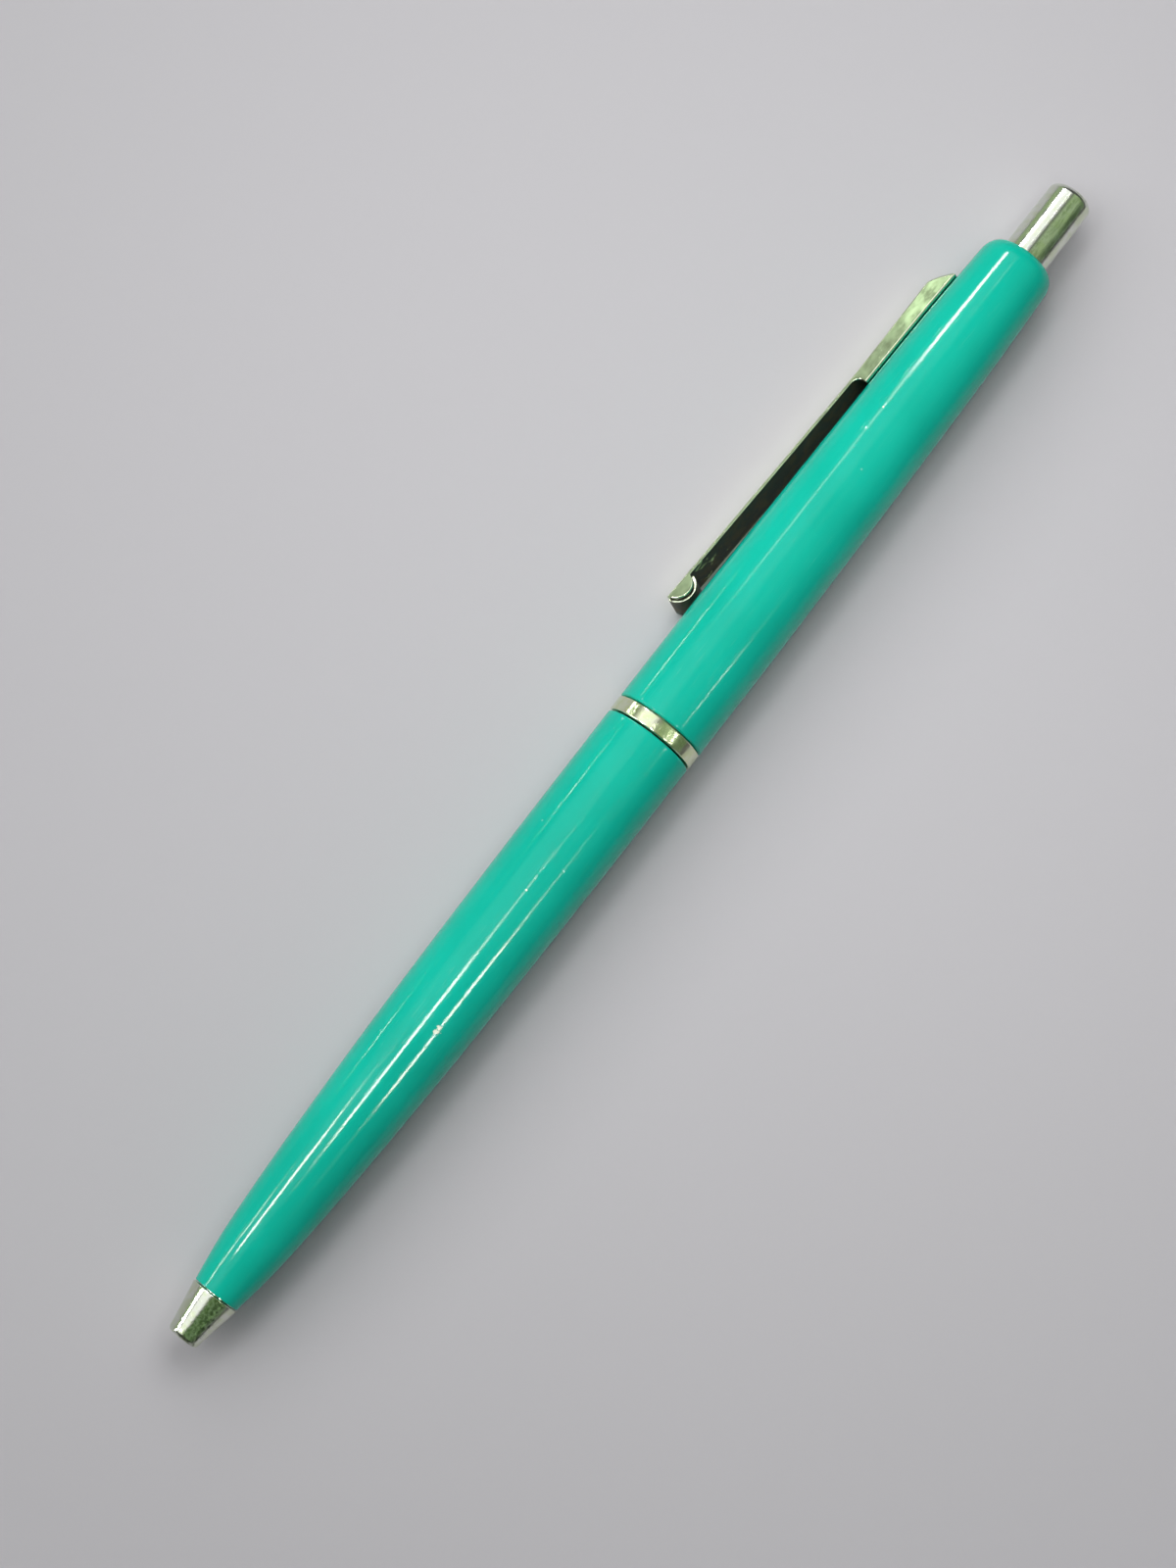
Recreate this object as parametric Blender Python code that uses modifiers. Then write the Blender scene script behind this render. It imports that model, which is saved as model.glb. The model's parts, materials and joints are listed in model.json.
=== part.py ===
# Retractable ballpoint pen lying on its side. X runs along the pen from the nose to the push button,
# the table is z = 0 and the origin is under the middle of the whole pen.
# Lengths below are millimetres, counted along the pen from a datum just inside the tip of the nose.
# MM makes them metres.
import math

import bmesh
import bpy

MM = 0.001

# Whole pen
NOSE_END_X = -0.36
BUTTON_END_X = 139.2
MIDDLE_X = (NOSE_END_X + BUTTON_END_X) / 2
AXIS_Y = -1.135
AXIS_Z = 4.774
ROUND_STEPS = 48
SMALL_STEPS = 32
THREAD_STEPS = 28

# Clip direction, measured from level round the pen's axis
CLIP_TILT = math.radians(25.4)

# Outer outline of the barrels: stations (distance from the nose, radius)
LOWER_OUTLINE = ((4.72, 2.44), (7.4, 2.87), (12.9, 3.39), (21.9, 3.89), (35.6, 4.36), (54.0, 4.62), (70.64, 4.72))
UPPER_OUTLINE = ((72.46, 4.75), (82.5, 4.77), (95.0, 4.66), (108.0, 4.50), (121.3, 4.24), (129.0, 3.93))
OUTLINE_ROWS = 15
EDGE_ROUND = 0.14
OUTLINE_SAMPLES = 160
CUT_PAST = 1.0
END_FACE_X = 130.95
END_SHOULDER_FROM = 129.0
END_HOLE_R = 2.47
END_HOLE_LIP = 0.2
END_ROWS = 7

# Bores of the lower barrel
SPIGOT_BORE_R = 2.02
SPIGOT_BORE_END = 9.6
SPRING_BORE_R = 2.42
SPRING_BORE_END = 12.8
REFILL_BORE_FROM = 16.2
REFILL_BORE_R = 3.1
NECK_SEAT_FROM = 60.0
NECK_SEAT_R = 3.86

# Bores of the upper barrel
INSERT_SEAT_R = 4.18
INSERT_SEAT_END = 80.9
CHAMBER_R = 3.6
CHAMBER_END = 99.5
SLEEVE_SEAT_R = 3.45
SLEEVE_SEAT_END = 128.6

# Nose cone
NOSE_TIP_R = 1.70
NOSE_TIP_ROUND = 0.75
NOSE_RIM_R = 1.3
NOSE_TIP_ROWS = 4
NOSE_RIM_LIP = 0.06
NOSE_BASE_EDGE = 0.1
NOSE_BASE_X = 4.62
NOSE_BASE_R = 2.47
NOSE_HOLE_R = 1.24
NOSE_HOLE_END = 2.1
NOSE_BORE_R = 1.7
NOSE_BORE_FROM = 2.5
SPIGOT_R = 1.96
SPIGOT_END = 9.5

# Centre ring
RING_FROM = 70.8
RING_TO = 72.36
RING_R = 4.74
RING_BORE_R = 3.99
RING_EDGE = 0.1

# Screw joint between the halves
THREAD_PITCH = 1.25
THREAD_WAVE = 0.15
THREAD_MALE_R = 3.57
THREAD_CLEARANCE = 0.13
THREAD_FROM = 71.3
THREAD_MALE_TO = 78.8
THREAD_FEMALE_TO = 80.2
THREAD_FADE = 0.5
THREAD_ROWS_PER_PITCH = 5
NECK_BORE_R = 3.08
NECK_FROM = 60.3
NECK_SEATED_R = 3.8
NECK_TO = 79.1
NECK_SHOULDER_X = 70.4
NECK_END_EDGE = 0.1
INSERT_FROM = 70.95
INSERT_RING_R = 3.94
INSERT_R = 4.13
INSERT_TO = 80.6
INSERT_SHOULDER_X = 72.7
INSERT_SHOULDER = 0.2

# Push button and its plunger
BUTTON_R = 2.35
BUTTON_BORE_R = 1.96
BUTTON_FROM = 118.6
BUTTON_CAP = 0.55
BUTTON_INNER_EDGE = 0.5
BUTTON_ROUND = 0.85
BUTTON_FLAT_R = 1.45
BUTTON_ROUND_ROWS = 5
CORE_SHAFT_R = 1.9
CORE_SHAFT_TO = 134.0
CORE_HEAD_R = 2.3
CORE_HEAD_FROM = 112.6
CORE_HEAD_TO = 118.0

# Rotating cam
CAM_COUNT = 4
FIN_ANGLE = math.radians(16.0)
FIN_R = 2.9
FIN_FROM = 106.4
FIN_TO = 109.4
INDEX_TURN = math.radians(11.25)
GROOVE_ANGLE = math.radians(32.0)
SLEEVE_FROM = 99.95
SLEEVE_TO = 117.9
SLEEVE_R = 3.39
SLEEVE_BORE_R = 3.0
RIB_BORE_R = 2.48
RIB_FROM = 104.6
RIB_SLANT = 0.8
ROTOR_STEM_R = 1.75
ROTOR_STEM_FROM = 101.0
ROTOR_HEAD_R = 2.3
ROTOR_HEAD_FROM = 104.0
ROTOR_HEAD_TO = 110.2
ROTOR_CORE_HOLE_R = 0.7
ROTOR_NECK = 0.5
TOOTH_COUNT = 8
TOOTH_SIDE_ROWS = 4
RIB_ROWS = 4
RIB_ROOT = 0.3
SLEEVE_RIB_ROWS = 16
SLEEVE_RIB_ROOT = 0.12
END_MERGE = 0.1
TOOTH_HEIGHT = 0.7
TOOTH_INNER_R = 0.9
TOOTH_INSET = 0.05
CROWN_MID = 110.9
CROWN_GAP = 0.52
PLUG_CROWN_MID = 99.4
PLUG_CROWN_GAP = 0.12
PLUG_TOOTH_HEIGHT = 0.5

# Collar that locks the clip
BUSH_FROM = 118.3
BUSH_TO = 127.0
BUSH_R = 3.38
BUSH_BORE_R = 2.5
BUSH_SLOT_FROM = 123.4
BUSH_SLOT_HALF = 1.55

# Cartridge
BALL_X = 2.15
BALL_R = 0.4
BALL_ROWS = 10
SOCKET_FROM = 2.22
SOCKET_MOUTH_R = 0.46
SOCKET_CONE_TO = 4.4
SOCKET_R = 1.15
SOCKET_TO = 11.5
SOCKET_BORE_R = 0.44
SOCKET_MOUTH_WALL = 0.08
SOCKET_STEP = 0.12
SOCKET_STEP_LENGTH = 0.5
NECK_TUBE_FROM = 8.5
NECK_TUBE_BORE_R = 1.2
NECK_TUBE_R = 1.6
NECK_TUBE_TO = 24.0
NECK_TUBE_EDGE = 0.2
NECK_TUBE_GAP = 0.06
TUBE_WALL = 0.3
SHOULDER_FROM = 21.4
SHOULDER_TO = 22.5
CARTRIDGE_R = 2.95
CARTRIDGE_BORE_R = 2.68
CARTRIDGE_TO = 93.0
PLUG_FROM = 88.5
PLUG_INNER_R = 2.6
PLUG_HEAD_TO = 97.0
PLUG_CROWN_R = 2.3
PLUG_VENT_R = 0.5
PLUG_NECK_TO = 98.0
PLUG_SHOULDER = 0.5
PLUG_SEAT_GAP = 0.2
PLUG_CROWN_FROM = 97.7
INK_FROM = 25.0
INK_TO = 84.0
INK_R = 2.55
INK_STEPS = 24

# Return spring
SPRING_FROM = 9.8
SPRING_TO = 21.2
SPRING_R = 1.99
SPRING_WIRE = 0.19
SPRING_TURNS = 9
SPRING_DEAD_TURNS = 1.0
SPRING_POINTS_PER_TURN = 16
SPRING_DEAD_PITCH = 1.06

# Pocket clip: sheet metal, section measured outwards from the pen's axis
CLIP_HALF = 2.0
CLIP_SHEET = 0.32
CLIP_CORNER = 0.18
CLIP_END_CORNER = 0.72
CLIP_CORNER_ROWS = 3
CLIP_TIP_X = 83.1
CLIP_TIP_R = 6.92
CLIP_ROOT_R = 5.80
CLIP_STRAIGHT_FROM = 112.0
CLIP_ARM_BOW = 1.1
CLIP_SLOPE_BOW = 1.35
CLIP_LEAST_BEND = 0.02
CLIP_LIP = 0.36
CLIP_WINDOW_END = 111.7
CLIP_WINDOW_ROUND = 0.9
CLIP_WINDOW_STEP = 0.02
CLIP_SLOPE_FROM = 123.5
CLIP_END_X = 125.62
CLIP_END_R = 4.55
CLIP_GAP = 0.09
LUG_X = 84.7
LUG_HALF = 1.45
LUG_DEPTH = 1.2
LUG_ROWS = 12
ARM_ROWS = 5
WINDOW_ROWS = 5
SLOPE_ROWS = 7
CURL_HALF = 1.52
CURL_STEP = 0.24
CURL_ROWS = 16
CURL_END_GAP = 0.16
TANG_HALF = 1.15
TANG_FROM = 124.05
TANG_TO = 124.4
HOOK_TO = 127.1
HOOK_LOW_R = 2.74
HOOK_HIGH_R = 3.04
SLOT_CLEARANCE = 0.28
CLIP_PIVOT_X = 125.2
CLIP_PIVOT_R = 4.2


def clear_scene():
    """Start from nothing."""
    for obj in list(bpy.data.objects):
        bpy.data.objects.remove(obj, do_unlink=True)


def material(name, colour, roughness, metallic):
    """A plain material of one colour."""
    made = bpy.data.materials.new(name)
    made.use_nodes = True
    shader = made.node_tree.nodes["Principled BSDF"]
    shader.inputs["Base Color"].default_value = (*colour, 1.0)
    shader.inputs["Roughness"].default_value = roughness
    shader.inputs["Metallic"].default_value = metallic
    return made


def add_object(name, data, collection, origin_x=0.0, origin_y=0.0, origin_z=0.0):
    """Put data, drawn round the pen's axis in millimetres, in the scene with its origin at the given point."""
    obj = bpy.data.objects.new(name, data)
    obj.location = (
        (origin_x - MIDDLE_X) * MM,
        (origin_y + AXIS_Y) * MM,
        (origin_z + AXIS_Z) * MM,
    )
    collection.objects.link(obj)
    if collection is TOOLS:
        obj.hide_render = True
        obj.display_type = "WIRE"
    return obj


def mesh_of(name, points, faces, edges=(), origin=(0.0, 0.0, 0.0)):
    """A mesh from points in millimetres, measured from origin."""
    made = bpy.data.meshes.new(name)
    local = [tuple((p[k] - origin[k]) * MM for k in range(3)) for p in points]
    made.from_pydata(local, list(edges), list(faces))
    if faces:
        work = bmesh.new()
        work.from_mesh(made)
        bmesh.ops.recalc_face_normals(work, faces=work.faces)
        work.to_mesh(made)
        work.free()
    return made


def turned(name, outline, look, origin_x=0.0, steps=ROUND_STEPS, collection=None):
    """A turned piece. outline is a closed loop of (x, radius), or runs from the axis to the axis."""
    last = len(outline)
    edges = [(i, i + 1) for i in range(last - 1)]
    if outline[0][1] > 0:
        edges.append((last - 1, 0))
    points = [(x, radius, 0.0) for x, radius in outline]
    data = mesh_of(name, points, (), edges, (origin_x, 0.0, 0.0))
    obj = add_object(name, data, collection or PEN, origin_x)
    turn = obj.modifiers.new("Turn", "SCREW")
    turn.axis = "X"
    turn.steps = steps
    turn.render_steps = steps
    turn.use_smooth_shade = True
    turn.use_merge_vertices = True
    turn.merge_threshold = 0.000001
    turn.use_normal_flip = signed_area(outline) < 0
    data.materials.append(look)
    return obj


def signed_area(outline):
    """Twice the area inside an outline, positive when it runs anticlockwise in x and radius."""
    total = 0.0
    for i, (x0, r0) in enumerate(outline):
        x1, r1 = outline[(i + 1) % len(outline)]
        total += x0 * r1 - x1 * r0
    return total


def around(angle, radius):
    """The point at that angle round the pen's axis, as (y, z)."""
    return radius * math.cos(angle), radius * math.sin(angle)


def ring_solid(points, faces, angles, section, closed):
    """Add to points and faces a solid swept round the axis. section(angle) is its loop of (x, radius)."""
    base = len(points)
    size = len(section(angles[0]))
    for angle in angles:
        for x, radius in section(angle):
            y, z = around(angle, radius)
            points.append((x, y, z))
    rows = len(angles)
    for i in range(rows if closed else rows - 1):
        here = base + i * size
        there = base + ((i + 1) % rows) * size
        for k in range(size):
            after = (k + 1) % size
            faces.append((here + k, here + after, there + after, there + k))
    if not closed:
        faces.append(tuple(base + k for k in range(size)))
        faces.append(tuple(base + (rows - 1) * size + k for k in reversed(range(size))))


def triangle_wave(angle, count):
    """A wave from -0.5 to 0.5 with count straight-sided teeth in a full turn."""
    phase = (angle * count / (2 * math.pi)) % 1.0
    return abs(2 * phase - 1) - 0.5


def smooth_through(stations, rows):
    """Points on a smooth curve through the stations, evenly spaced along x."""
    slopes = []
    for i in range(len(stations)):
        low = stations[max(i - 1, 0)]
        high = stations[min(i + 1, len(stations) - 1)]
        slopes.append((high[1] - low[1]) / (high[0] - low[0]))
    found = []
    for step in range(rows + 1):
        x = stations[0][0] + (stations[-1][0] - stations[0][0]) * step / rows
        i = max(k for k in range(len(stations) - 1) if stations[k][0] <= x + 1e-9)
        width = stations[i + 1][0] - stations[i][0]
        t = (x - stations[i][0]) / width
        start = stations[i][1] * (2 * t**3 - 3 * t**2 + 1)
        leave = slopes[i] * width * (t**3 - 2 * t**2 + t)
        end = stations[i + 1][1] * (3 * t**2 - 2 * t**3)
        arrive = slopes[i + 1] * width * (t**3 - t**2)
        found.append((x, start + leave + end + arrive))
    return found


def upper_radius(x):
    """The upper barrel's outer radius at x."""
    curve = smooth_through(UPPER_OUTLINE, OUTLINE_SAMPLES)
    return min(curve, key=lambda point: abs(point[0] - x))[1]


def cut(target, cutter, operation="DIFFERENCE"):
    """Boolean target with cutter."""
    made = target.modifiers.new(operation.title(), "BOOLEAN")
    made.operation = operation
    made.solver = "EXACT"
    made.object = cutter


def clip_point(x, across, out):
    """A point of the clip: along the pen, across the clip, and outwards from the pen's axis."""
    y = out * math.cos(CLIP_TILT) + across * math.sin(CLIP_TILT)
    z = -out * math.sin(CLIP_TILT) + across * math.cos(CLIP_TILT)
    return x, y, z


def plate(name, outline, half, origin, collection, look=None):
    """A slab in the clip's own directions: outline is a loop of (x, out), and half is half its width."""
    size = len(outline)
    points = [clip_point(x, -half, out) for x, out in outline]
    points += [clip_point(x, half, out) for x, out in outline]
    faces = [tuple(range(size)), tuple(reversed(range(size, 2 * size)))]
    for k in range(size):
        after = (k + 1) % size
        faces.append((k, after, size + after, size + k))
    data = mesh_of(name, points, faces, (), origin)
    if look:
        data.materials.append(look)
    return add_object(name, data, collection, *origin)


def build_upper_barrel(look):
    """The upper half, with its domed end and the slot for the clip's tang."""
    side = smooth_through(UPPER_OUTLINE, OUTLINE_ROWS)
    outline = [(side[0][0], side[0][1] - EDGE_ROUND)]
    outline.append((side[0][0] + EDGE_ROUND, side[0][1]))
    outline += side[1:]
    shoulder = side[-1][1]
    flat = END_HOLE_R + END_HOLE_LIP
    for i in range(1, END_ROWS + 1):
        angle = math.pi / 2 * i / END_ROWS
        x = END_SHOULDER_FROM + (END_FACE_X - END_SHOULDER_FROM) * math.sin(angle)
        outline.append((x, flat + (shoulder - flat) * math.cos(angle)))
    outline.append((END_FACE_X - END_HOLE_LIP, END_HOLE_R))
    outline += [(SLEEVE_SEAT_END, END_HOLE_R), (SLEEVE_SEAT_END, SLEEVE_SEAT_R)]
    outline += [(CHAMBER_END, SLEEVE_SEAT_R), (CHAMBER_END, CHAMBER_R)]
    outline += [(INSERT_SEAT_END, CHAMBER_R), (INSERT_SEAT_END, INSERT_SEAT_R)]
    outline.append((side[0][0], INSERT_SEAT_R))
    barrel = turned("upper_barrel", outline, look, side[0][0])
    slot = [
        (TANG_FROM - SLOT_CLEARANCE, SLEEVE_SEAT_R - CUT_PAST),
        (TANG_TO + SLOT_CLEARANCE, SLEEVE_SEAT_R - CUT_PAST),
        (TANG_TO + SLOT_CLEARANCE, upper_radius(TANG_TO) + CUT_PAST),
        (TANG_FROM - SLOT_CLEARANCE, upper_radius(TANG_FROM) + CUT_PAST),
    ]
    origin = (TANG_FROM, 0.0, 0.0)
    cut(barrel, plate("tang_slot", slot, TANG_HALF + SLOT_CLEARANCE, origin, TOOLS))
    return barrel


def build_lower_barrel(look):
    """The lower half, tapering to the nose."""
    side = smooth_through(LOWER_OUTLINE, OUTLINE_ROWS)
    outline = [(side[0][0], side[0][1] - EDGE_ROUND / 2)]
    outline.append((side[0][0] + EDGE_ROUND / 2, side[0][1]))
    outline += side[1:-1]
    end_x, end_r = side[-1]
    outline.append((end_x - EDGE_ROUND, end_r))
    outline.append((end_x, end_r - EDGE_ROUND))
    outline += [(end_x, NECK_SEAT_R), (NECK_SEAT_FROM, NECK_SEAT_R)]
    outline += [(NECK_SEAT_FROM, REFILL_BORE_R), (REFILL_BORE_FROM, REFILL_BORE_R)]
    outline += [(SPRING_BORE_END, SPRING_BORE_R), (SPIGOT_BORE_END, SPRING_BORE_R)]
    outline += [(SPIGOT_BORE_END, SPIGOT_BORE_R), (side[0][0], SPIGOT_BORE_R)]
    return turned("lower_barrel", outline, look, end_x)


def build_nose_cone(look):
    """The metal tip and its spigot."""
    outline = []
    for i in range(NOSE_TIP_ROWS + 1):
        angle = math.pi / 2 * i / NOSE_TIP_ROWS
        x = NOSE_END_X + NOSE_TIP_ROUND * (1 - math.cos(angle))
        outline.append((x, NOSE_RIM_R + (NOSE_TIP_R - NOSE_RIM_R) * math.sin(angle)))
    outline.append((NOSE_BASE_X - NOSE_BASE_EDGE, NOSE_BASE_R))
    outline.append((NOSE_BASE_X, NOSE_BASE_R - NOSE_BASE_EDGE))
    outline += [(NOSE_BASE_X, SPIGOT_R), (SPIGOT_END, SPIGOT_R), (SPIGOT_END, NOSE_BORE_R)]
    outline += [(NOSE_BORE_FROM, NOSE_BORE_R), (NOSE_HOLE_END, NOSE_HOLE_R)]
    outline.append((NOSE_END_X + NOSE_RIM_LIP, NOSE_HOLE_R))
    return turned("nose_cone", outline, look, 0.0)


def build_center_ring(look):
    """The ring between the halves."""
    outline = [
        (RING_FROM, RING_R - RING_EDGE),
        (RING_FROM + RING_EDGE, RING_R),
        (RING_TO - RING_EDGE, RING_R),
        (RING_TO, RING_R - RING_EDGE),
        (RING_TO, RING_BORE_R),
        (RING_FROM, RING_BORE_R),
    ]
    return turned("center_ring", outline, look, RING_FROM)


def clip_height(x):
    """How far the outside of the clip's arm is from the pen's axis at x."""
    if x < CLIP_STRAIGHT_FROM:
        share = (CLIP_STRAIGHT_FROM - x) / (CLIP_STRAIGHT_FROM - CLIP_TIP_X)
        return CLIP_ROOT_R + (CLIP_TIP_R - CLIP_ROOT_R) * share**CLIP_ARM_BOW
    if x <= CLIP_SLOPE_FROM:
        return CLIP_ROOT_R
    share = (x - CLIP_SLOPE_FROM) / (CLIP_END_X - CLIP_SLOPE_FROM)
    return CLIP_ROOT_R + (CLIP_END_R - CLIP_ROOT_R) * share**CLIP_SLOPE_BOW


def lug_circle():
    """Radius of the side lugs' edge, and how far its centre is above the arm's inner face."""
    radius = (LUG_HALF**2 + LUG_DEPTH**2) / (2 * LUG_DEPTH)
    return radius, radius - LUG_DEPTH


def clip_wall_bottom(x):
    """How far the lower edge of the clip's side walls is from the pen's axis at x."""
    top = clip_height(x)
    if x > CLIP_WINDOW_END:
        inner = CLIP_HALF - CLIP_SHEET
        rest = math.sqrt(upper_radius(x) ** 2 - inner**2) + CLIP_GAP
        return min(rest, top - CLIP_LIP)
    if x > CLIP_WINDOW_END - CLIP_WINDOW_ROUND:
        along = x - (CLIP_WINDOW_END - CLIP_WINDOW_ROUND)
        fall = CLIP_WINDOW_ROUND - math.sqrt(max(CLIP_WINDOW_ROUND**2 - along**2, 0.0))
        return top - CLIP_LIP - fall
    if abs(x - LUG_X) < LUG_HALF:
        radius, above = lug_circle()
        drop = math.sqrt(radius**2 - (x - LUG_X) ** 2) - above
        return top - max(CLIP_SHEET + drop, CLIP_LIP)
    return top - CLIP_LIP


def clip_section(x):
    """The clip's section at x: a channel, as a loop of (across, out)."""
    top = clip_height(x)
    low = clip_wall_bottom(x)
    inner = CLIP_HALF - CLIP_SHEET
    share = max((x - CLIP_SLOPE_FROM) / (CLIP_END_X - CLIP_SLOPE_FROM), 0.0)
    bend = CLIP_CORNER + (CLIP_END_CORNER - CLIP_CORNER) * share
    outside = quarter_bend(CLIP_HALF, top, bend)
    inside = quarter_bend(inner, top - CLIP_SHEET, max(bend - CLIP_SHEET, CLIP_LEAST_BEND))
    loop = [(CLIP_HALF, low), *outside]
    loop += [(-across, out) for across, out in reversed(outside)]
    loop += [(-CLIP_HALF, low), (-inner, low)]
    loop += [(-across, out) for across, out in inside]
    loop += list(reversed(inside))
    loop.append((inner, low))
    return loop


def quarter_bend(across, top, bend):
    """The rounded corner of a section, from the side at across to the top."""
    found = []
    for i in range(CLIP_CORNER_ROWS + 1):
        angle = math.pi / 2 * i / CLIP_CORNER_ROWS
        found.append((across - bend * (1 - math.cos(angle)), top - bend * (1 - math.sin(angle))))
    return found


def shares(rows):
    """Evenly spaced shares from 0 to 1."""
    return [i / rows for i in range(rows + 1)]


def clip_stations():
    """Where the clip's sections are taken: close together where its outline bends."""
    window = CLIP_WINDOW_END - CLIP_WINDOW_ROUND
    found = [CLIP_TIP_X]
    found += [LUG_X - LUG_HALF * math.cos(math.pi * share) for share in shares(LUG_ROWS)]
    found += [LUG_X + LUG_HALF + (window - LUG_X - LUG_HALF) * share for share in shares(ARM_ROWS)[1:-1]]
    found += [window + CLIP_WINDOW_ROUND * math.sin(math.pi / 2 * share) for share in shares(WINDOW_ROWS)]
    root = CLIP_WINDOW_END + CLIP_WINDOW_STEP
    found += [root + (CLIP_SLOPE_FROM - root) * share for share in shares(ARM_ROWS)[:-1]]
    found += [CLIP_SLOPE_FROM + (CLIP_END_X - CLIP_SLOPE_FROM) * share for share in shares(SLOPE_ROWS)]
    return found


def build_clip(look):
    """The pocket clip: channel root, flat arm, lugs, curled end, and the tang hooked in the barrel."""
    pivot = clip_point(CLIP_PIVOT_X, 0.0, CLIP_PIVOT_R)
    points = []
    faces = []
    stations = clip_stations()
    size = len(clip_section(stations[0]))
    for x in stations:
        points += [clip_point(x, across, out) for across, out in clip_section(x)]
    for i in range(len(stations) - 1):
        for k in range(size):
            after = (k + 1) % size
            here = i * size
            faces.append((here + k, here + after, here + size + after, here + size + k))
    faces.append(tuple(range(size)))
    faces.append(tuple(reversed(range((len(stations) - 1) * size, len(stations) * size))))
    data = mesh_of("pocket_clip", points, faces, (), pivot)
    data.materials.append(look)
    clip = add_object("pocket_clip", data, PEN, *pivot)

    radius, above = lug_circle()
    face = clip_height(LUG_X) - CLIP_SHEET
    centre = face + above
    outer = radius + CURL_STEP
    inner = outer - CLIP_SHEET
    start = math.pi + math.asin(min((above - CLIP_SHEET * 0.5) / outer, 1.0))
    stop = 2 * math.pi - math.asin((above + CURL_END_GAP) / inner)
    arc = [start + (stop - start) * share for share in shares(CURL_ROWS)]
    curl = [(LUG_X + outer * math.cos(a), centre + outer * math.sin(a)) for a in arc]
    curl += [(LUG_X + inner * math.cos(a), centre + inner * math.sin(a)) for a in reversed(arc)]
    cut(clip, plate("clip_curl", curl, CURL_HALF, pivot, TOOLS), "UNION")

    tang = [
        (TANG_FROM, clip_height(TANG_FROM) - CLIP_SHEET / 2),
        (TANG_FROM, HOOK_LOW_R),
        (HOOK_TO, HOOK_LOW_R),
        (HOOK_TO, HOOK_HIGH_R),
        (TANG_TO, HOOK_HIGH_R),
        (TANG_TO, clip_height(TANG_TO) - CLIP_SHEET / 2),
    ]
    cut(clip, plate("clip_tang", tang, TANG_HALF, pivot, TOOLS), "UNION")
    return clip


def build_button(look):
    """The drawn metal thimble that is pressed."""
    end = BUTTON_END_X
    outline = [(BUTTON_FROM, BUTTON_R)]
    for i in range(BUTTON_ROUND_ROWS + 1):
        angle = math.pi / 2 * i / BUTTON_ROUND_ROWS
        x = end - BUTTON_ROUND + BUTTON_ROUND * math.sin(angle)
        outline.append((x, BUTTON_FLAT_R + (BUTTON_R - BUTTON_FLAT_R) * math.cos(angle)))
    outline += [(end, 0.0)]
    inside = [(end - BUTTON_CAP, 0.0), (end - BUTTON_CAP, BUTTON_BORE_R - BUTTON_INNER_EDGE)]
    inside += [(end - BUTTON_CAP - BUTTON_INNER_EDGE, BUTTON_BORE_R), (BUTTON_FROM, BUTTON_BORE_R)]
    return turned("push_button", list(reversed(outline)) + list(reversed(inside)), look, BUTTON_FROM)


def full_turn(count):
    """count angles round a full turn."""
    return [2 * math.pi * i / count for i in range(count)]


def toothed_ring(name, inner_r, outer_r, low, high, phase=0.0):
    """A ring whose ends rise and fall by low(angle) and high(angle)."""
    points = []
    faces = []

    def section(angle):
        a = angle - phase
        inner = inner_r + TOOTH_INSET
        outer = outer_r - TOOTH_INSET
        return [(low(a), inner), (low(a), outer), (high(a), outer), (high(a), inner)]

    angles = [phase + angle for angle in full_turn(TOOTH_COUNT * TOOTH_SIDE_ROWS)]
    ring_solid(points, faces, angles, section, True)
    return add_object(name, mesh_of(name, points, faces), TOOLS)


def rib_set(name, inner_r, outer_r, width, low, high, turn=0.0, rows=RIB_ROWS):
    """Equal ribs round the axis. low and high give each rib's ends from the share across its width."""
    points = []
    faces = []
    for k in range(CAM_COUNT):
        middle = turn + 2 * math.pi * k / CAM_COUNT
        angles = [middle + width * (i / rows - 0.5) for i in range(rows + 1)]

        def section(angle, middle=middle):
            share = (angle - middle) / width + 0.5
            a, b = low(share), high(share)
            return [(a, inner_r), (a, outer_r), (b, outer_r), (b, inner_r)]

        ring_solid(points, faces, angles, section, False)
    return add_object(name, mesh_of(name, points, faces), TOOLS)


def build_core(look):
    """The plunger in the button: shaft, head, guide ribs and toothed crown."""
    outline = [
        (CORE_HEAD_FROM, TOOTH_INNER_R),
        (CORE_HEAD_TO, TOOTH_INNER_R),
        (CORE_SHAFT_TO, TOOTH_INNER_R),
        (CORE_SHAFT_TO, CORE_SHAFT_R),
        (CORE_HEAD_TO, CORE_SHAFT_R),
        (CORE_HEAD_TO, CORE_HEAD_R),
        (CORE_HEAD_FROM, CORE_HEAD_R),
    ]
    core = turned("button_core", outline, look, CORE_HEAD_TO, SMALL_STEPS)
    crown = toothed_ring(
        "core_crown",
        TOOTH_INNER_R,
        CORE_HEAD_R,
        lambda a: CROWN_MID + CROWN_GAP + TOOTH_HEIGHT * triangle_wave(a, TOOTH_COUNT),
        lambda a: CORE_HEAD_FROM + END_MERGE,
    )
    cut(core, crown, "UNION")
    ribs = rib_set(
        "core_ribs",
        CORE_HEAD_R - RIB_ROOT,
        FIN_R,
        FIN_ANGLE,
        lambda share: CORE_HEAD_FROM + 4 * END_MERGE,
        lambda share: CORE_HEAD_TO - END_MERGE,
    )
    cut(core, ribs, "UNION")
    return core


def slant_share(share):
    """How far up its slant a fixed rib's end is: two equal slants side by side."""
    return 1.0 if share > 1 - 0.5 / SLEEVE_RIB_ROWS else (2 * share) % 1.0


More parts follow.
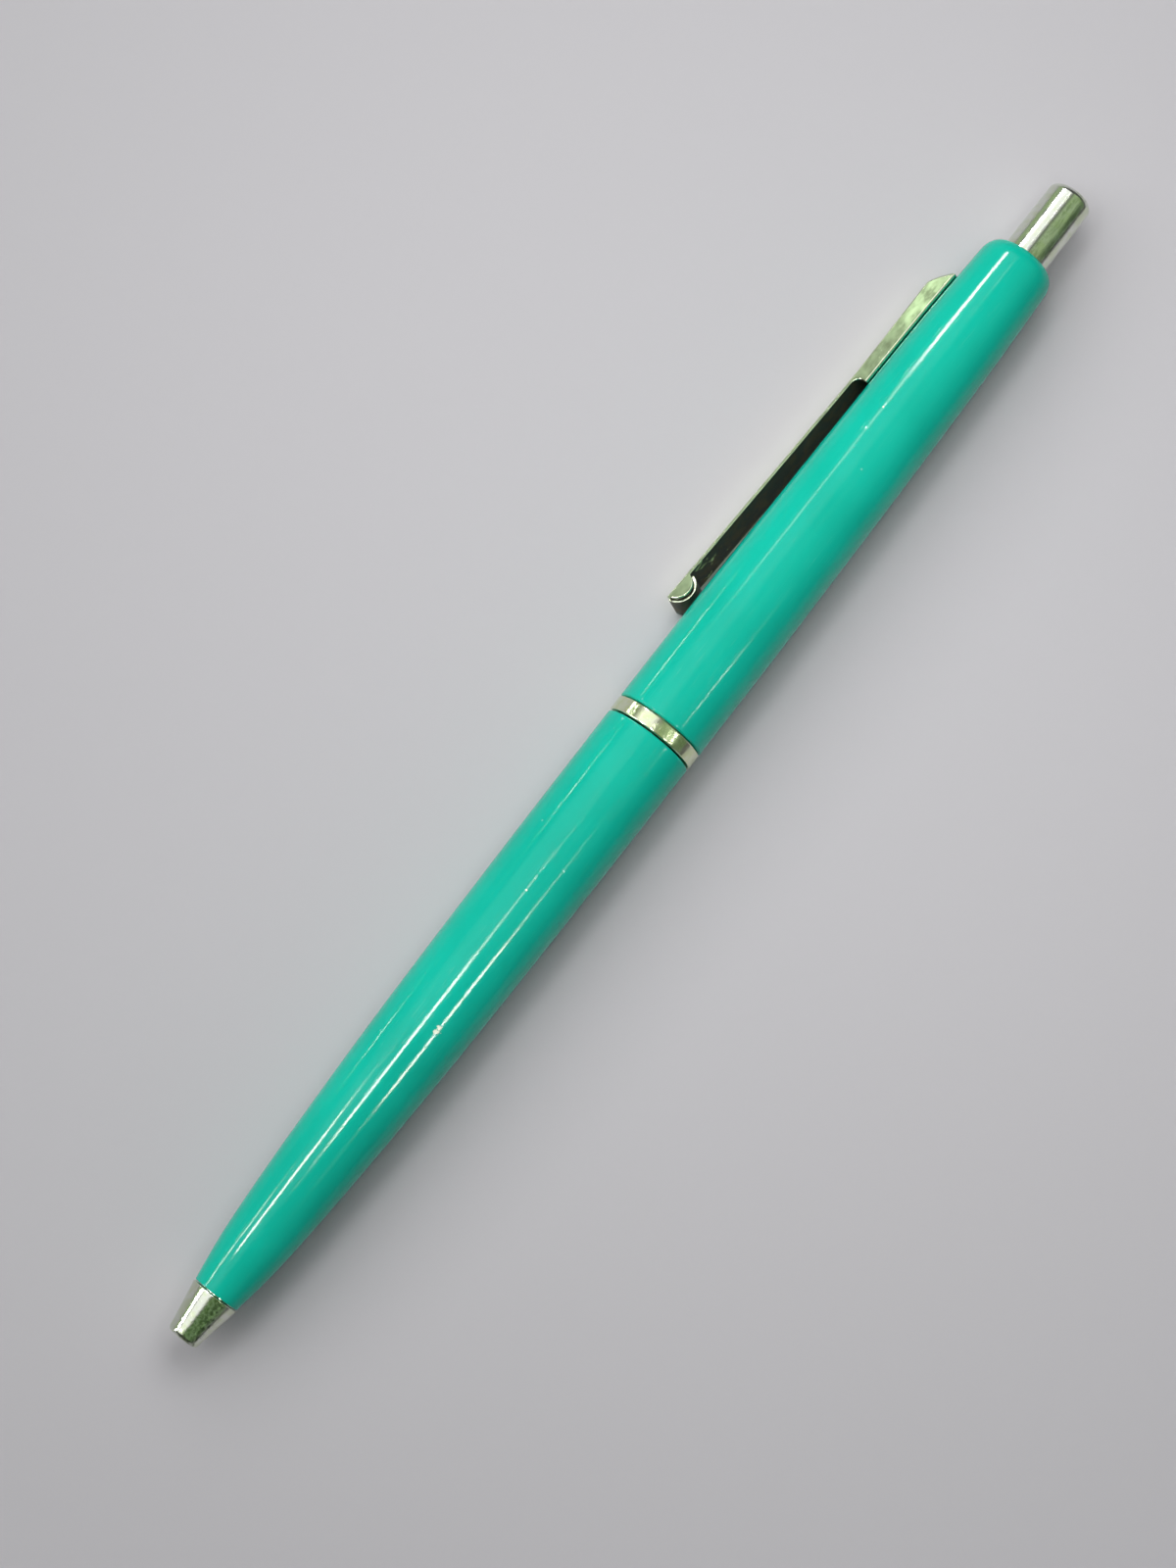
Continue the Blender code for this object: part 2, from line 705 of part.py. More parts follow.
def build_sleeve(look):
    """The fixed sleeve: ribs inside, their lower ends slanted to turn the rotor."""
    outline = [
        (SLEEVE_FROM, SLEEVE_BORE_R),
        (SLEEVE_TO, SLEEVE_BORE_R),
        (SLEEVE_TO, SLEEVE_R),
        (SLEEVE_FROM, SLEEVE_R),
    ]
    sleeve = turned("cam_sleeve", outline, look, SLEEVE_FROM, SMALL_STEPS * 2)
    width = 2 * math.pi / CAM_COUNT - GROOVE_ANGLE
    ribs = rib_set(
        "sleeve_ribs",
        RIB_BORE_R,
        SLEEVE_BORE_R + SLEEVE_RIB_ROOT,
        width,
        lambda share: RIB_FROM + RIB_SLANT * slant_share(share),
        lambda share: SLEEVE_TO - END_MERGE,
        math.pi / CAM_COUNT,
        SLEEVE_RIB_ROWS,
    )
    cut(sleeve, ribs, "UNION")
    return sleeve


def build_rotor(look):
    """The rotor: fins, teeth towards the plunger and teeth towards the cartridge."""
    outline = [
        (ROTOR_STEM_FROM, ROTOR_CORE_HOLE_R),
        (ROTOR_HEAD_TO, ROTOR_CORE_HOLE_R),
        (ROTOR_HEAD_TO, ROTOR_HEAD_R),
        (ROTOR_HEAD_FROM, ROTOR_HEAD_R),
        (ROTOR_HEAD_FROM - ROTOR_NECK, ROTOR_STEM_R),
        (ROTOR_STEM_FROM, ROTOR_STEM_R),
    ]
    rotor = turned("cam_rotor", outline, look, ROTOR_HEAD_FROM, SMALL_STEPS)
    crown = toothed_ring(
        "rotor_crown",
        TOOTH_INNER_R,
        ROTOR_HEAD_R,
        lambda a: ROTOR_HEAD_TO - END_MERGE,
        lambda a: CROWN_MID + TOOTH_HEIGHT * triangle_wave(a, TOOTH_COUNT),
        -INDEX_TURN,
    )
    cut(rotor, crown, "UNION")
    foot = toothed_ring(
        "rotor_foot",
        TOOTH_INNER_R,
        PLUG_CROWN_R,
        lambda a: PLUG_CROWN_MID + PLUG_CROWN_GAP + PLUG_TOOTH_HEIGHT * triangle_wave(a, TOOTH_COUNT),
        lambda a: ROTOR_STEM_FROM + 4 * END_MERGE,
        -INDEX_TURN,
    )
    cut(rotor, foot, "UNION")
    fins = rib_set(
        "rotor_fins",
        ROTOR_HEAD_R - RIB_ROOT,
        FIN_R,
        FIN_ANGLE,
        lambda share: FIN_FROM,
        lambda share: FIN_TO - RIB_SLANT / 2 * (1 - share),
        -INDEX_TURN / 2,
    )
    cut(rotor, fins, "UNION")
    return rotor


def build_bush(look):
    """The collar that guides the button and locks the clip's tang."""
    outline = [(BUSH_FROM, BUSH_BORE_R), (BUSH_TO, BUSH_BORE_R), (BUSH_TO, BUSH_R), (BUSH_FROM, BUSH_R)]
    bush = turned("clip_bush", outline, look, BUSH_FROM)
    slot = [
        (BUSH_SLOT_FROM, BUSH_BORE_R - CUT_PAST),
        (BUSH_TO + CUT_PAST, BUSH_BORE_R - CUT_PAST),
        (BUSH_TO + CUT_PAST, BUSH_R + CUT_PAST),
        (BUSH_SLOT_FROM, BUSH_R + CUT_PAST),
    ]
    cut(bush, plate("bush_slot", slot, BUSH_SLOT_HALF, (BUSH_FROM, 0.0, 0.0), TOOLS))
    return bush


def thread_wave(x, angle, first, last):
    """Height of a right-hand thread at x and angle, fading out at both ends."""
    fade = min((x - first) / THREAD_FADE, (last - x) / THREAD_FADE, 1.0)
    wave = math.cos(2 * math.pi * x / THREAD_PITCH - angle)
    return THREAD_WAVE * max(fade, 0.0) * wave, max(fade, 0.0)


def thread_rows(first, last):
    """Where a thread's sections are taken."""
    count = round((last - first) / THREAD_PITCH * THREAD_ROWS_PER_PITCH)
    return [first + (last - first) * i / count for i in range(count + 1)]


def build_neck(look):
    """The brass sleeve in the lower barrel, with the outside thread."""
    rows = thread_rows(THREAD_FROM, THREAD_MALE_TO)
    root = THREAD_MALE_R - THREAD_WAVE

    def section(angle):
        loop = [(NECK_FROM, NECK_BORE_R), (NECK_FROM, NECK_SEATED_R)]
        loop += [(NECK_SHOULDER_X, NECK_SEATED_R), (NECK_SHOULDER_X + NECK_END_EDGE, root)]
        for x in rows:
            wave, fade = thread_wave(x, angle, THREAD_FROM, THREAD_MALE_TO)
            loop.append((x, root + THREAD_WAVE * fade + wave))
        loop += [(NECK_TO, root - NECK_END_EDGE), (NECK_TO, NECK_BORE_R)]
        return loop

    points = []
    faces = []
    ring_solid(points, faces, full_turn(THREAD_STEPS), section, True)
    origin = (THREAD_FROM, 0.0, 0.0)
    data = mesh_of("neck_bush", points, faces, (), origin)
    data.materials.append(look)
    return add_object("neck_bush", data, PEN, *origin)


def build_insert(look):
    """The brass sleeve in the upper barrel, with the inside thread. It also carries the centre ring."""
    rows = thread_rows(THREAD_FROM, THREAD_FEMALE_TO)
    crest = THREAD_MALE_R + THREAD_WAVE + THREAD_CLEARANCE

    def section(angle):
        loop = [(INSERT_TO, crest), (INSERT_TO, INSERT_R), (INSERT_SHOULDER_X, INSERT_R)]
        loop.append((INSERT_SHOULDER_X - INSERT_SHOULDER, INSERT_RING_R))
        loop += [(INSERT_FROM, INSERT_RING_R), (INSERT_FROM, crest)]
        for x in rows:
            wave, fade = thread_wave(x, angle, THREAD_FROM, THREAD_FEMALE_TO)
            loop.append((x, crest - THREAD_WAVE * fade + wave))
        return loop

    points = []
    faces = []
    ring_solid(points, faces, full_turn(THREAD_STEPS), section, True)
    origin = (THREAD_FROM, 0.0, 0.0)
    data = mesh_of("thread_insert", points, faces, (), origin)
    data.materials.append(look)
    return add_object("thread_insert", data, PEN, *origin)


def build_spring(look):
    """The return spring: a coil with closed end turns."""
    count = SPRING_TURNS * SPRING_POINTS_PER_TURN
    dead = SPRING_DEAD_TURNS * SPRING_POINTS_PER_TURN
    wire = 2 * SPRING_WIRE * SPRING_DEAD_PITCH
    dead_length = SPRING_DEAD_TURNS * wire
    low = SPRING_FROM + SPRING_WIRE
    high = SPRING_TO - SPRING_WIRE
    curve = bpy.data.curves.new("return_spring", "CURVE")
    curve.dimensions = "3D"
    curve.bevel_depth = SPRING_WIRE * MM
    curve.bevel_resolution = 1
    curve.use_fill_caps = True
    spline = curve.splines.new("POLY")
    spline.points.add(count)
    for i in range(count + 1):
        if i < dead:
            x = low + dead_length * i / dead
        elif i > count - dead:
            x = high - dead_length * (count - i) / dead
        else:
            share = (i - dead) / (count - 2 * dead)
            x = low + dead_length + (high - low - 2 * dead_length) * share
        y, z = around(2 * math.pi * i / SPRING_POINTS_PER_TURN, SPRING_R)
        spline.points[i].co = ((x - SPRING_FROM) * MM, y * MM, z * MM, 1.0)
    curve.materials.append(look)
    return add_object("return_spring", curve, PEN, SPRING_FROM)


def build_cartridge(steel, brass, plug_look, ink_look, ball_look):
    """The refill: tube, neck, point, ball, plug and ink."""
    tube = [
        (SHOULDER_FROM, NECK_TUBE_R + NECK_TUBE_GAP),
        (SHOULDER_FROM, NECK_TUBE_R + TUBE_WALL),
        (SHOULDER_TO, CARTRIDGE_R),
        (CARTRIDGE_TO, CARTRIDGE_R),
        (CARTRIDGE_TO, CARTRIDGE_BORE_R),
        (SHOULDER_TO + TUBE_WALL, CARTRIDGE_BORE_R),
    ]
    turned("refill_tube", list(reversed(tube)), steel, SHOULDER_FROM)
    neck = [
        (NECK_TUBE_FROM, NECK_TUBE_BORE_R),
        (NECK_TUBE_TO, NECK_TUBE_BORE_R),
        (NECK_TUBE_TO, NECK_TUBE_R),
        (NECK_TUBE_FROM + NECK_TUBE_EDGE, NECK_TUBE_R),
        (NECK_TUBE_FROM, NECK_TUBE_R - NECK_TUBE_EDGE),
    ]
    turned("refill_neck", neck, steel, NECK_TUBE_FROM, SMALL_STEPS)
    socket = [
        (SOCKET_FROM, SOCKET_BORE_R),
        (SOCKET_TO, SOCKET_BORE_R),
        (SOCKET_TO, SOCKET_R),
        (SOCKET_CONE_TO, SOCKET_R),
        (SOCKET_CONE_TO - SOCKET_STEP_LENGTH, SOCKET_R - SOCKET_STEP),
        (SOCKET_FROM, SOCKET_MOUTH_R + SOCKET_MOUTH_WALL),
    ]
    turned("point_socket", socket, brass, SOCKET_FROM, SMALL_STEPS)
    ball = []
    for share in shares(BALL_ROWS):
        angle = math.pi * share
        ball.append((BALL_X + BALL_R * math.cos(angle), BALL_R * math.sin(angle)))
    ball[0] = (BALL_X + BALL_R, 0.0)
    ball[-1] = (BALL_X - BALL_R, 0.0)
    turned("writing_ball", ball, ball_look, BALL_X, 2 * BALL_ROWS)
    plug = [
        (PLUG_FROM, PLUG_VENT_R),
        (PLUG_NECK_TO, PLUG_VENT_R),
        (PLUG_NECK_TO, PLUG_CROWN_R),
        (PLUG_HEAD_TO, PLUG_CROWN_R),
        (PLUG_HEAD_TO - PLUG_SHOULDER, CARTRIDGE_R),
        (CARTRIDGE_TO + PLUG_SEAT_GAP, CARTRIDGE_R),
        (CARTRIDGE_TO + PLUG_SEAT_GAP, PLUG_INNER_R),
        (PLUG_FROM, PLUG_INNER_R),
    ]
    made = turned("refill_plug", plug, plug_look, PLUG_HEAD_TO, SMALL_STEPS)
    crown = toothed_ring(
        "plug_crown",
        TOOTH_INNER_R,
        PLUG_CROWN_R,
        lambda a: PLUG_CROWN_FROM,
        lambda a: PLUG_CROWN_MID + PLUG_TOOTH_HEIGHT * triangle_wave(a, TOOTH_COUNT),
        -INDEX_TURN,
    )
    cut(made, crown, "UNION")
    ink = [(INK_FROM, 0.0), (INK_FROM, INK_R), (INK_TO, INK_R), (INK_TO, 0.0)]
    turned("ink_column", list(reversed(ink)), ink_look, INK_FROM, INK_STEPS)


def build_pen():
    """Every piece of the pen."""
    plastic = material("teal_plastic", (0.010, 0.48, 0.36), 0.22, 0.0)
    chrome = material("chrome_plate", (0.78, 0.82, 0.78), 0.12, 1.0)
    ring_chrome = material("ring_plate", (0.80, 0.82, 0.76), 0.25, 1.0)
    clip_steel = material("clip_steel", (0.72, 0.75, 0.68), 0.2, 1.0)
    button_chrome = material("button_plate", (0.80, 0.83, 0.79), 0.1, 1.0)
    brass = material("thread_brass", (0.72, 0.52, 0.22), 0.35, 1.0)
    point_brass = material("point_brass", (0.76, 0.60, 0.32), 0.25, 1.0)
    steel = material("cartridge_steel", (0.60, 0.61, 0.62), 0.3, 1.0)
    spring_steel = material("spring_steel", (0.50, 0.50, 0.52), 0.3, 1.0)
    white_plastic = material("cam_plastic", (0.80, 0.80, 0.77), 0.45, 0.0)
    grey_plastic = material("sleeve_plastic", (0.20, 0.20, 0.21), 0.5, 0.0)
    bush_steel = material("bush_steel", (0.55, 0.55, 0.56), 0.35, 1.0)
    carbide = material("ball_carbide", (0.35, 0.35, 0.37), 0.15, 1.0)
    ink = material("ink_paste", (0.005, 0.008, 0.08), 0.3, 0.0)
    build_upper_barrel(plastic)
    build_lower_barrel(plastic)
    build_nose_cone(chrome)
    build_center_ring(ring_chrome)
    build_clip(clip_steel)
    build_button(button_chrome)
    build_core(white_plastic)
    build_bush(bush_steel)
    build_sleeve(grey_plastic)
    build_rotor(white_plastic)
    build_insert(brass)
    build_neck(brass)
    build_spring(spring_steel)
    build_cartridge(steel, point_brass, white_plastic, ink, carbide)


clear_scene()
PEN = bpy.data.collections.new("retractable_pen")
TOOLS = bpy.data.collections.new("cutting_tools")
TOOLS.hide_render = True
bpy.context.scene.collection.children.link(PEN)
bpy.context.scene.collection.children.link(TOOLS)
build_pen()
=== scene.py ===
import json
import math

import bmesh
import bpy
import numpy as np
from mathutils import Matrix, Vector

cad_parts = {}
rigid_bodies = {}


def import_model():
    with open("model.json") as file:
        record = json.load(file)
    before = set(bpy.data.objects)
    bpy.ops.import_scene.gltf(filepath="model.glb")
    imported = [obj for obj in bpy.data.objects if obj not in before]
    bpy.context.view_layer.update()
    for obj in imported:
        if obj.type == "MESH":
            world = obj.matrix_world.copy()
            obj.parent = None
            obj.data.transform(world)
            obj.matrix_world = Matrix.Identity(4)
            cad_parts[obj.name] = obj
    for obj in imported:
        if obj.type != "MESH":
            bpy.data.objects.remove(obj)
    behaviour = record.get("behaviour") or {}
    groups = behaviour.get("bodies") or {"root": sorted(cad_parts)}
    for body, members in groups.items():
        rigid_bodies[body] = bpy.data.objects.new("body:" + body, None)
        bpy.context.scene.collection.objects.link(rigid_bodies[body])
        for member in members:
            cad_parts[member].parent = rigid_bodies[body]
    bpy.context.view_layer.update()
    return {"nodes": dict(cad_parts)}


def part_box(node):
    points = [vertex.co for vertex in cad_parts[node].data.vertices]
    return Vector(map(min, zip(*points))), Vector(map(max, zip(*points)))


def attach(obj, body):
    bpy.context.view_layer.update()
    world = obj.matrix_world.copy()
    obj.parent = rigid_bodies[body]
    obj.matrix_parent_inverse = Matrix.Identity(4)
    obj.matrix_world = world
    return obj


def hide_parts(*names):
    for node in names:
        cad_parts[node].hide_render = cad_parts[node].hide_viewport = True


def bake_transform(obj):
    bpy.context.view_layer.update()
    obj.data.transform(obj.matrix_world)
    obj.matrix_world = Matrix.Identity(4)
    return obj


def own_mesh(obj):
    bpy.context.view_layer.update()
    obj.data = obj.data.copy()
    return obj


for leftover in list(bpy.data.objects):
    bpy.data.objects.remove(leftover, do_unlink=True)
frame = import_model()

MM = 0.001


def box_mm(node):
    """Lowest and highest corner of a CAD node, in millimetres."""
    low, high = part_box(node)
    return low / MM, high / MM


RING_LOW, RING_HIGH = box_mm("center_ring")
AXIS_Y = (RING_LOW.y + RING_HIGH.y) / 2
AXIS_Z = (RING_LOW.z + RING_HIGH.z) / 2
CLIP_TIP_X = box_mm("pocket_clip")[0].x

# Places along the pen are counted from a datum just inside the tip of the nose
NOSE_BEFORE_DATUM = 0.36
NOSE_X = box_mm("nose_cone")[0].x + NOSE_BEFORE_DATUM

# Camera: above the pen, looking down, leaning towards the button and turned round its line of sight
CAMERA_PLACE = (-50.42, 0.83, 329.13)
CAMERA_LEAN = math.radians(-7.86)
CAMERA_TURN = math.radians(-52.0)
CAMERA_LENS = 79.11

# Meshes
SHARP_TURN = math.radians(38.0)
WELD_METRES = 1e-8
ROUNDING = 1e-6
TINY = 1e-12

# Turned pieces
BARREL_STEPS = 192
FINE_STEPS = 128
CARTRIDGE_STEPS = 96
CORNER_TURN = math.radians(27.0)
ROW_STEP = 0.5
NOSE_ROW_STEP = 0.25
BUTTON_ROW_STEP = 0.2
BALL_ROW_STEP = 0.1
EDGE_FILLET = 0.05
NOSE_FILLET = 0.04
CARTRIDGE_FILLET = 0.03
FILLET_ROWS = 4
FILLET_SHARE = 0.4
SUPPORT = 0.04
SUPPORT_SHARE = 0.45
SAME_PLACE = 0.005
ON_AXIS = 0.002
OFF_LEVEL = 0.001
POLE_R = 1e-4

# Pocket clip: stations along the pen counted from its free end, heights counted from the pen's axis
CLIP_TILT = math.radians(25.4)
CLIP_HALF = 2.0
CLIP_SHEET = 0.32
CLIP_CORNER = 0.18
CLIP_END_CORNER = 0.72
CLIP_TIP_R = 6.92
CLIP_ROOT_R = 5.80
CLIP_END_R = 4.55
CLIP_STRAIGHT_AT = 28.9
CLIP_SLOPE_AT = 40.4
CLIP_END_AT = 42.52
CLIP_ARM_BOW = 1.1
CLIP_SLOPE_BOW = 1.35
CLIP_LIP = 0.36
CLIP_GAP = 0.09
CLIP_EDGE = 0.13
CLIP_FOOT = 0.25
CLIP_BURR = 0.04
CLIP_LEAST_BEND = 0.02
CLIP_LEAST_EDGE = 0.005
CLIP_BEND_ROWS = 6
CLIP_FOOT_ROWS = 5
WINDOW_END_AT = 28.6
WINDOW_ROUND = 0.9
PAST_WINDOW = 0.01
STATION_GAP = 0.1
LUG_ROWS = 32
ARM_ROWS = 40
WINDOW_ROWS = 14
ROOT_ROWS = 24
SLOPE_ROWS = 20
LUG_AT = 1.6
LUG_HALF = 1.45
LUG_DEPTH = 1.2
CURL_HALF = 1.52
CURL_STEP = 0.24
CURL_END_GAP = 0.16
CURL_ROWS = 40
TANG_HALF = 1.15
TANG_FROM_AT = 40.95
TANG_TO_AT = 41.3
HOOK_TO_AT = 44.0
HOOK_LOW_R = 2.74
HOOK_HIGH_R = 3.04
SLOT_CLEARANCE = 0.28
SLOT_LOW_R = 2.45
SLOT_HIGH_R = 5.2

# Material numbers on the clip
PLATED = 0
STAINED_AND_SHADED = 1
SATIN = 2

# Neck bush: a seat in the lower barrel, then the screw thread
NECK_BORE_R = 3.08
NECK_SEAT_R = 3.8
NECK_SEAT_LENGTH = 10.1
NECK_EDGE = 0.1
THREAD_CREST_R = 3.57
THREAD_FROM = 11.0
THREAD_TO_END = 0.3
THREAD_PITCH = 1.25
THREAD_WAVE = 0.15
THREAD_FADE = 0.5
THREAD_ROWS = 12

# Return spring
SPRING_WIRE = 0.19
SPRING_TURNS = 9
SPRING_DEAD_TURNS = 1.0
SPRING_DEAD_PITCH = 1.06
SPRING_POINTS_PER_TURN = 40
SPRING_SIDES = 12

# Materials
BARREL_MEAN_R = 4.6
BRASS_TINT = (0.46, 0.35, 0.17)
DRAWN_GRAIN = (0.5, 9.0, 9.0)
TURNED_GRAIN = (9.0, 0.6, 0.6)
# How far into the ring the painted shade on the neck bush reaches
SEAM_SHADE_DEPTH = 0.1

# Dents (x, across the barrel, size, depth), and nicks (x, across, size) painted near white as highlights
# where lines of gloss cross them, on the barrels' upper side
UPPER_DENTS = (
    (NOSE_X + 109.6, -1.9, 0.35, 0.35),
    (NOSE_X + 78.0, -0.7, 0.25, 0.30),
    (NOSE_X + 107.0, -2.0, 0.3, -0.3),
)
LOWER_DENTS = (
    (NOSE_X + 36.5, 1.10, 0.60, 1.0),
    (NOSE_X + 10.2, -1.3, 0.28, -0.5),
    (NOSE_X + 53.5, -0.5, 0.3, 0.4),
    (NOSE_X + 64.5, -0.6, 0.22, 0.3),
)
UPPER_NICKS_AND_HIGHLIGHTS = ((NOSE_X + 109.5, -1.92, 0.22),)
LOWER_NICKS_AND_HIGHLIGHTS = ((NOSE_X + 36.2, 1.17, 0.56), (NOSE_X + 36.55, 1.14, 0.46), (NOSE_X + 51.7, -0.42, 0.16))

# Studio: the floor is flat, then sweeps up. A soft panel is several panels one over the other
FLOOR_FLAT_R = 1.2
FLOOR_SWEEP_R = 1.0
FLOOR_SWEEP_ANGLE = math.radians(62.0)
FLOOR_SWEEP_ROWS = 12
FLOOR_STEPS = 96
SOFT_STEPS = 6
SOFT_EDGE = 0.45
SOFT_LAYER = 0.01
GLINT_DISTANCE = 1.0
WHITE_LIGHT = (1.0, 1.0, 1.0)
PALE_GREEN = (0.74, 1.0, 0.52)
DEEP_GREEN = (0.52, 1.0, 0.30)

# Strip lights seen mirrored in the barrels as lines of gloss: first and last end of the line (distance from
# the datum, across from the middle line), then the strip's width in metres and its radiance
GLINTS = {
    "nose_high": ((5.0, -1.45), (15.0, -1.60), 0.045, 34.0),
    "nose_low": ((9.0, -0.98), (25.5, -1.20), 0.085, 60.0),
    "middle": ((22.5, -0.34), (44.0, -0.40), 0.10, 58.0),
    "middle_faint": ((44.0, -0.40), (56.0, -0.46), 0.05, 16.0),
    "shade": ((28.5, 1.12), (46.0, 1.18), 0.095, 55.0),
    "shade_faint": ((46.0, 1.18), (56.0, 1.22), 0.04, 16.0),
    "side_low": ((31.5, -2.90), (34.5, -2.86), 0.03, 24.0),
    "side_high": ((59.5, -2.80), (65.0, -2.80), 0.035, 34.0),
    "upper_side": ((74.0, -3.20), (84.0, -3.20), 0.035, 30.0),
    "upper_shade": ((74.0, 1.70), (81.5, 1.85), 0.025, 26.0),
    "upper_faint": ((88.0, -1.95), (115.0, -1.90), 0.07, 8.0),
    "upper": ((115.0, -1.88), (129.0, -1.65), 0.13, 60.0),
    "upper_end": ((124.0, -0.66), (128.5, -0.66), 0.03, 7.0),
}


# ---- shapes


def add_mesh(name, points, faces, material_of=None):
    """A smooth-shaded mesh object from points in millimetres. material_of lists the faces' materials."""
    mesh = bpy.data.meshes.new(name)
    mesh.from_pydata([tuple(c * MM for c in point) for point in points], [], faces)
    if material_of:
        for face, number in zip(mesh.polygons, material_of):
            face.material_index = number
    work = bmesh.new()
    work.from_mesh(mesh)
    bmesh.ops.remove_doubles(work, verts=work.verts, dist=WELD_METRES)
    bmesh.ops.recalc_face_normals(work, faces=work.faces)
    work.to_mesh(mesh)
    work.free()
    mesh.shade_smooth()
    mesh.set_sharp_from_angle(angle=SHARP_TURN)
    made = bpy.data.objects.new(name, mesh)
    bpy.context.scene.collection.objects.link(made)
    return made


def join_rings(rings, size, closed=False):
    """Faces that join rings of points, each a loop of size points, one to the next.

    The last ring is joined to the first if closed, else both ends get a cap.
    """
    faces = []
    for i in range(rings if closed else rings - 1):
        here = i * size
        there = (i + 1) % rings * size
        for k in range(size):
            after = (k + 1) % size
            faces.append((here + k, here + after, there + after, there + k))
    if not closed:
        last = (rings - 1) * size
        faces += [tuple(range(size)), tuple(reversed(range(last, last + size)))]
    return faces


def section_edges(node):
    """A turned CAD node's half section, as loose edges: pairs of (x, radius).

    They are the facet edges that lie level with the axis, on its +Y side.
    """
    mesh = frame["nodes"][node].data
    points = np.array([v.co for v in mesh.vertices]) / MM
    radius = np.hypot(points[:, 1] - AXIS_Y, points[:, 2] - AXIS_Z)
    angle = np.arctan2(points[:, 2] - AXIS_Z, points[:, 1] - AXIS_Y)
    level = (np.abs(angle * radius) < ON_AXIS) & (points[:, 1] > AXIS_Y - OFF_LEVEL)
    keys = [(round(float(x), 3), round(float(r), 3)) for x, r in zip(points[:, 0], radius)]
    edges = set()
    for face in mesh.polygons:
        corners = list(face.vertices)
        for a, b in zip(corners, corners[1:] + corners[:1]):
            if level[a] and level[b] and keys[a] != keys[b]:
                edges.add(tuple(sorted((keys[a], keys[b]))))
    return edges


def section_of(node):
    """The half section of a turned CAD node in order, and whether it is a closed loop.

    One that isn't closed runs from axis to axis. A gap that a cut has left is closed: its ends share an x.
    """
    near = {}
    for a, b in section_edges(node):
        near.setdefault(a, set()).add(b)
        near.setdefault(b, set()).add(a)
    loose = sorted(p for p, others in near.items() if len(others) == 1)
    while loose:
        p = loose.pop()
        mates = [q for q in loose if abs(q[0] - p[0]) < SAME_PLACE]
        if mates:
            q = min(mates, key=lambda other: abs(other[1] - p[1]))
            loose.remove(q)
        elif p[1] < ON_AXIS:
            continue
        else:
            q = (p[0], 0.0)
        near.setdefault(p, set()).add(q)
        near.setdefault(q, set()).add(p)
    ends = sorted(p for p, others in near.items() if len(others) == 1)
    here = ends[0] if ends else min(near)
    path = [here]
    seen = {here}
    while True:
        onward = [p for p in near[here] if p not in seen]
        if not onward:
            return np.array(path), not ends
        here = min(onward)
        path.append(here)
        seen.add(here)


def unit(vector):
    """The vector at length 1."""
    return vector / max(np.linalg.norm(vector), TINY)


def fillet(before, corner, after, radius):
    """A rounded corner between two straight edges, as points."""
    shorter = min(np.linalg.norm(corner - before), np.linalg.norm(after - corner))
    reach = min(radius, FILLET_SHARE * shorter)
    start = corner + unit(before - corner) * reach
    stop = corner + unit(after - corner) * reach
    found = []
    for i in range(FILLET_ROWS + 1):
        t = i / FILLET_ROWS
        found.append(start * (1 - t) ** 2 + corner * 2 * t * (1 - t) + stop * t**2)
    return found


def refined(path, closed, radius, step=ROW_STEP):
    """A section with its corners rounded and its gentle curves drawn with more points."""
    count = len(path)
    corner = []
    for i in range(count):
        if not closed and i in (0, count - 1):
            corner.append(True)
            continue
        into = unit(path[i] - path[i - 1])
        out = unit(path[(i + 1) % count] - path[i])
        corner.append(float(into @ out) < math.cos(CORNER_TURN))
    found = []
    for i in range(count if closed else count - 1):
        j = (i + 1) % count
        start = path[i]
        stop = path[j]
        length = np.linalg.norm(stop - start)
        if corner[i] and (closed or i > 0):
            found += fillet(path[i - 1], start, stop, radius)
        else:
            found.append(start)
        if corner[i] and corner[j]:
            inset = (stop - start) * min((radius + SUPPORT) / length, SUPPORT_SHARE)
            found += [start + inset, stop - inset]
            continue
        leave = unit(stop - start) if corner[i] else unit(stop - path[i - 1])
        arrive = unit(stop - start) if corner[j] else unit(path[(j + 1) % count] - start)
        rows = max(int(math.ceil(length / step)), 3)
        for k in range(1, rows):
            t = k / rows
            if corner[i] and t * length < radius + SUPPORT / 2:
                continue
            if corner[j] and (1 - t) * length < radius + SUPPORT / 2:
                continue
            found.append(
                start * (2 * t**3 - 3 * t**2 + 1)
                + leave * length * (t**3 - 2 * t**2 + t)
                + stop * (3 * t**2 - 2 * t**3)
                + arrive * length * (t**3 - t**2)
            )
    if not closed:
        found.append(path[-1])
    return np.array(found)


def round_axis(x, radius, angle):
    """The point at a radius and an angle round the pen's axis."""
    return x, AXIS_Y + radius * math.cos(angle), AXIS_Z + radius * math.sin(angle)


def spun(name, path, closed, steps):
    """A solid of revolution round the pen's axis from a section."""
    rows = len(path)
    points = []
    for k in range(steps):
        points += [round_axis(x, radius, 2 * math.pi * k / steps) for x, radius in path]
    faces = []
    for k in range(steps):
        here = k * rows
        there = (k + 1) % steps * rows
        for i in range(rows if closed else rows - 1):
            j = (i + 1) % rows
            if path[i][1] < POLE_R:
                faces.append((here + i, here + j, there + j))
            elif path[j][1] < POLE_R:
                faces.append((here + i, here + j, there + i))
            else:
                faces.append((here + i, here + j, there + j, there + i))
    return add_mesh(name, points, faces)


def outer_radius(path, x):
    """The largest radius of a section at x."""
    best = 0.0
    for a, b in zip(path, np.roll(path, -1, axis=0)):
        low, high = min(a[0], b[0]), max(a[0], b[0])
        if low <= x <= high and high > low:
            t = (x - a[0]) / (b[0] - a[0])
            best = max(best, float(a[1] + (b[1] - a[1]) * t))
    return best


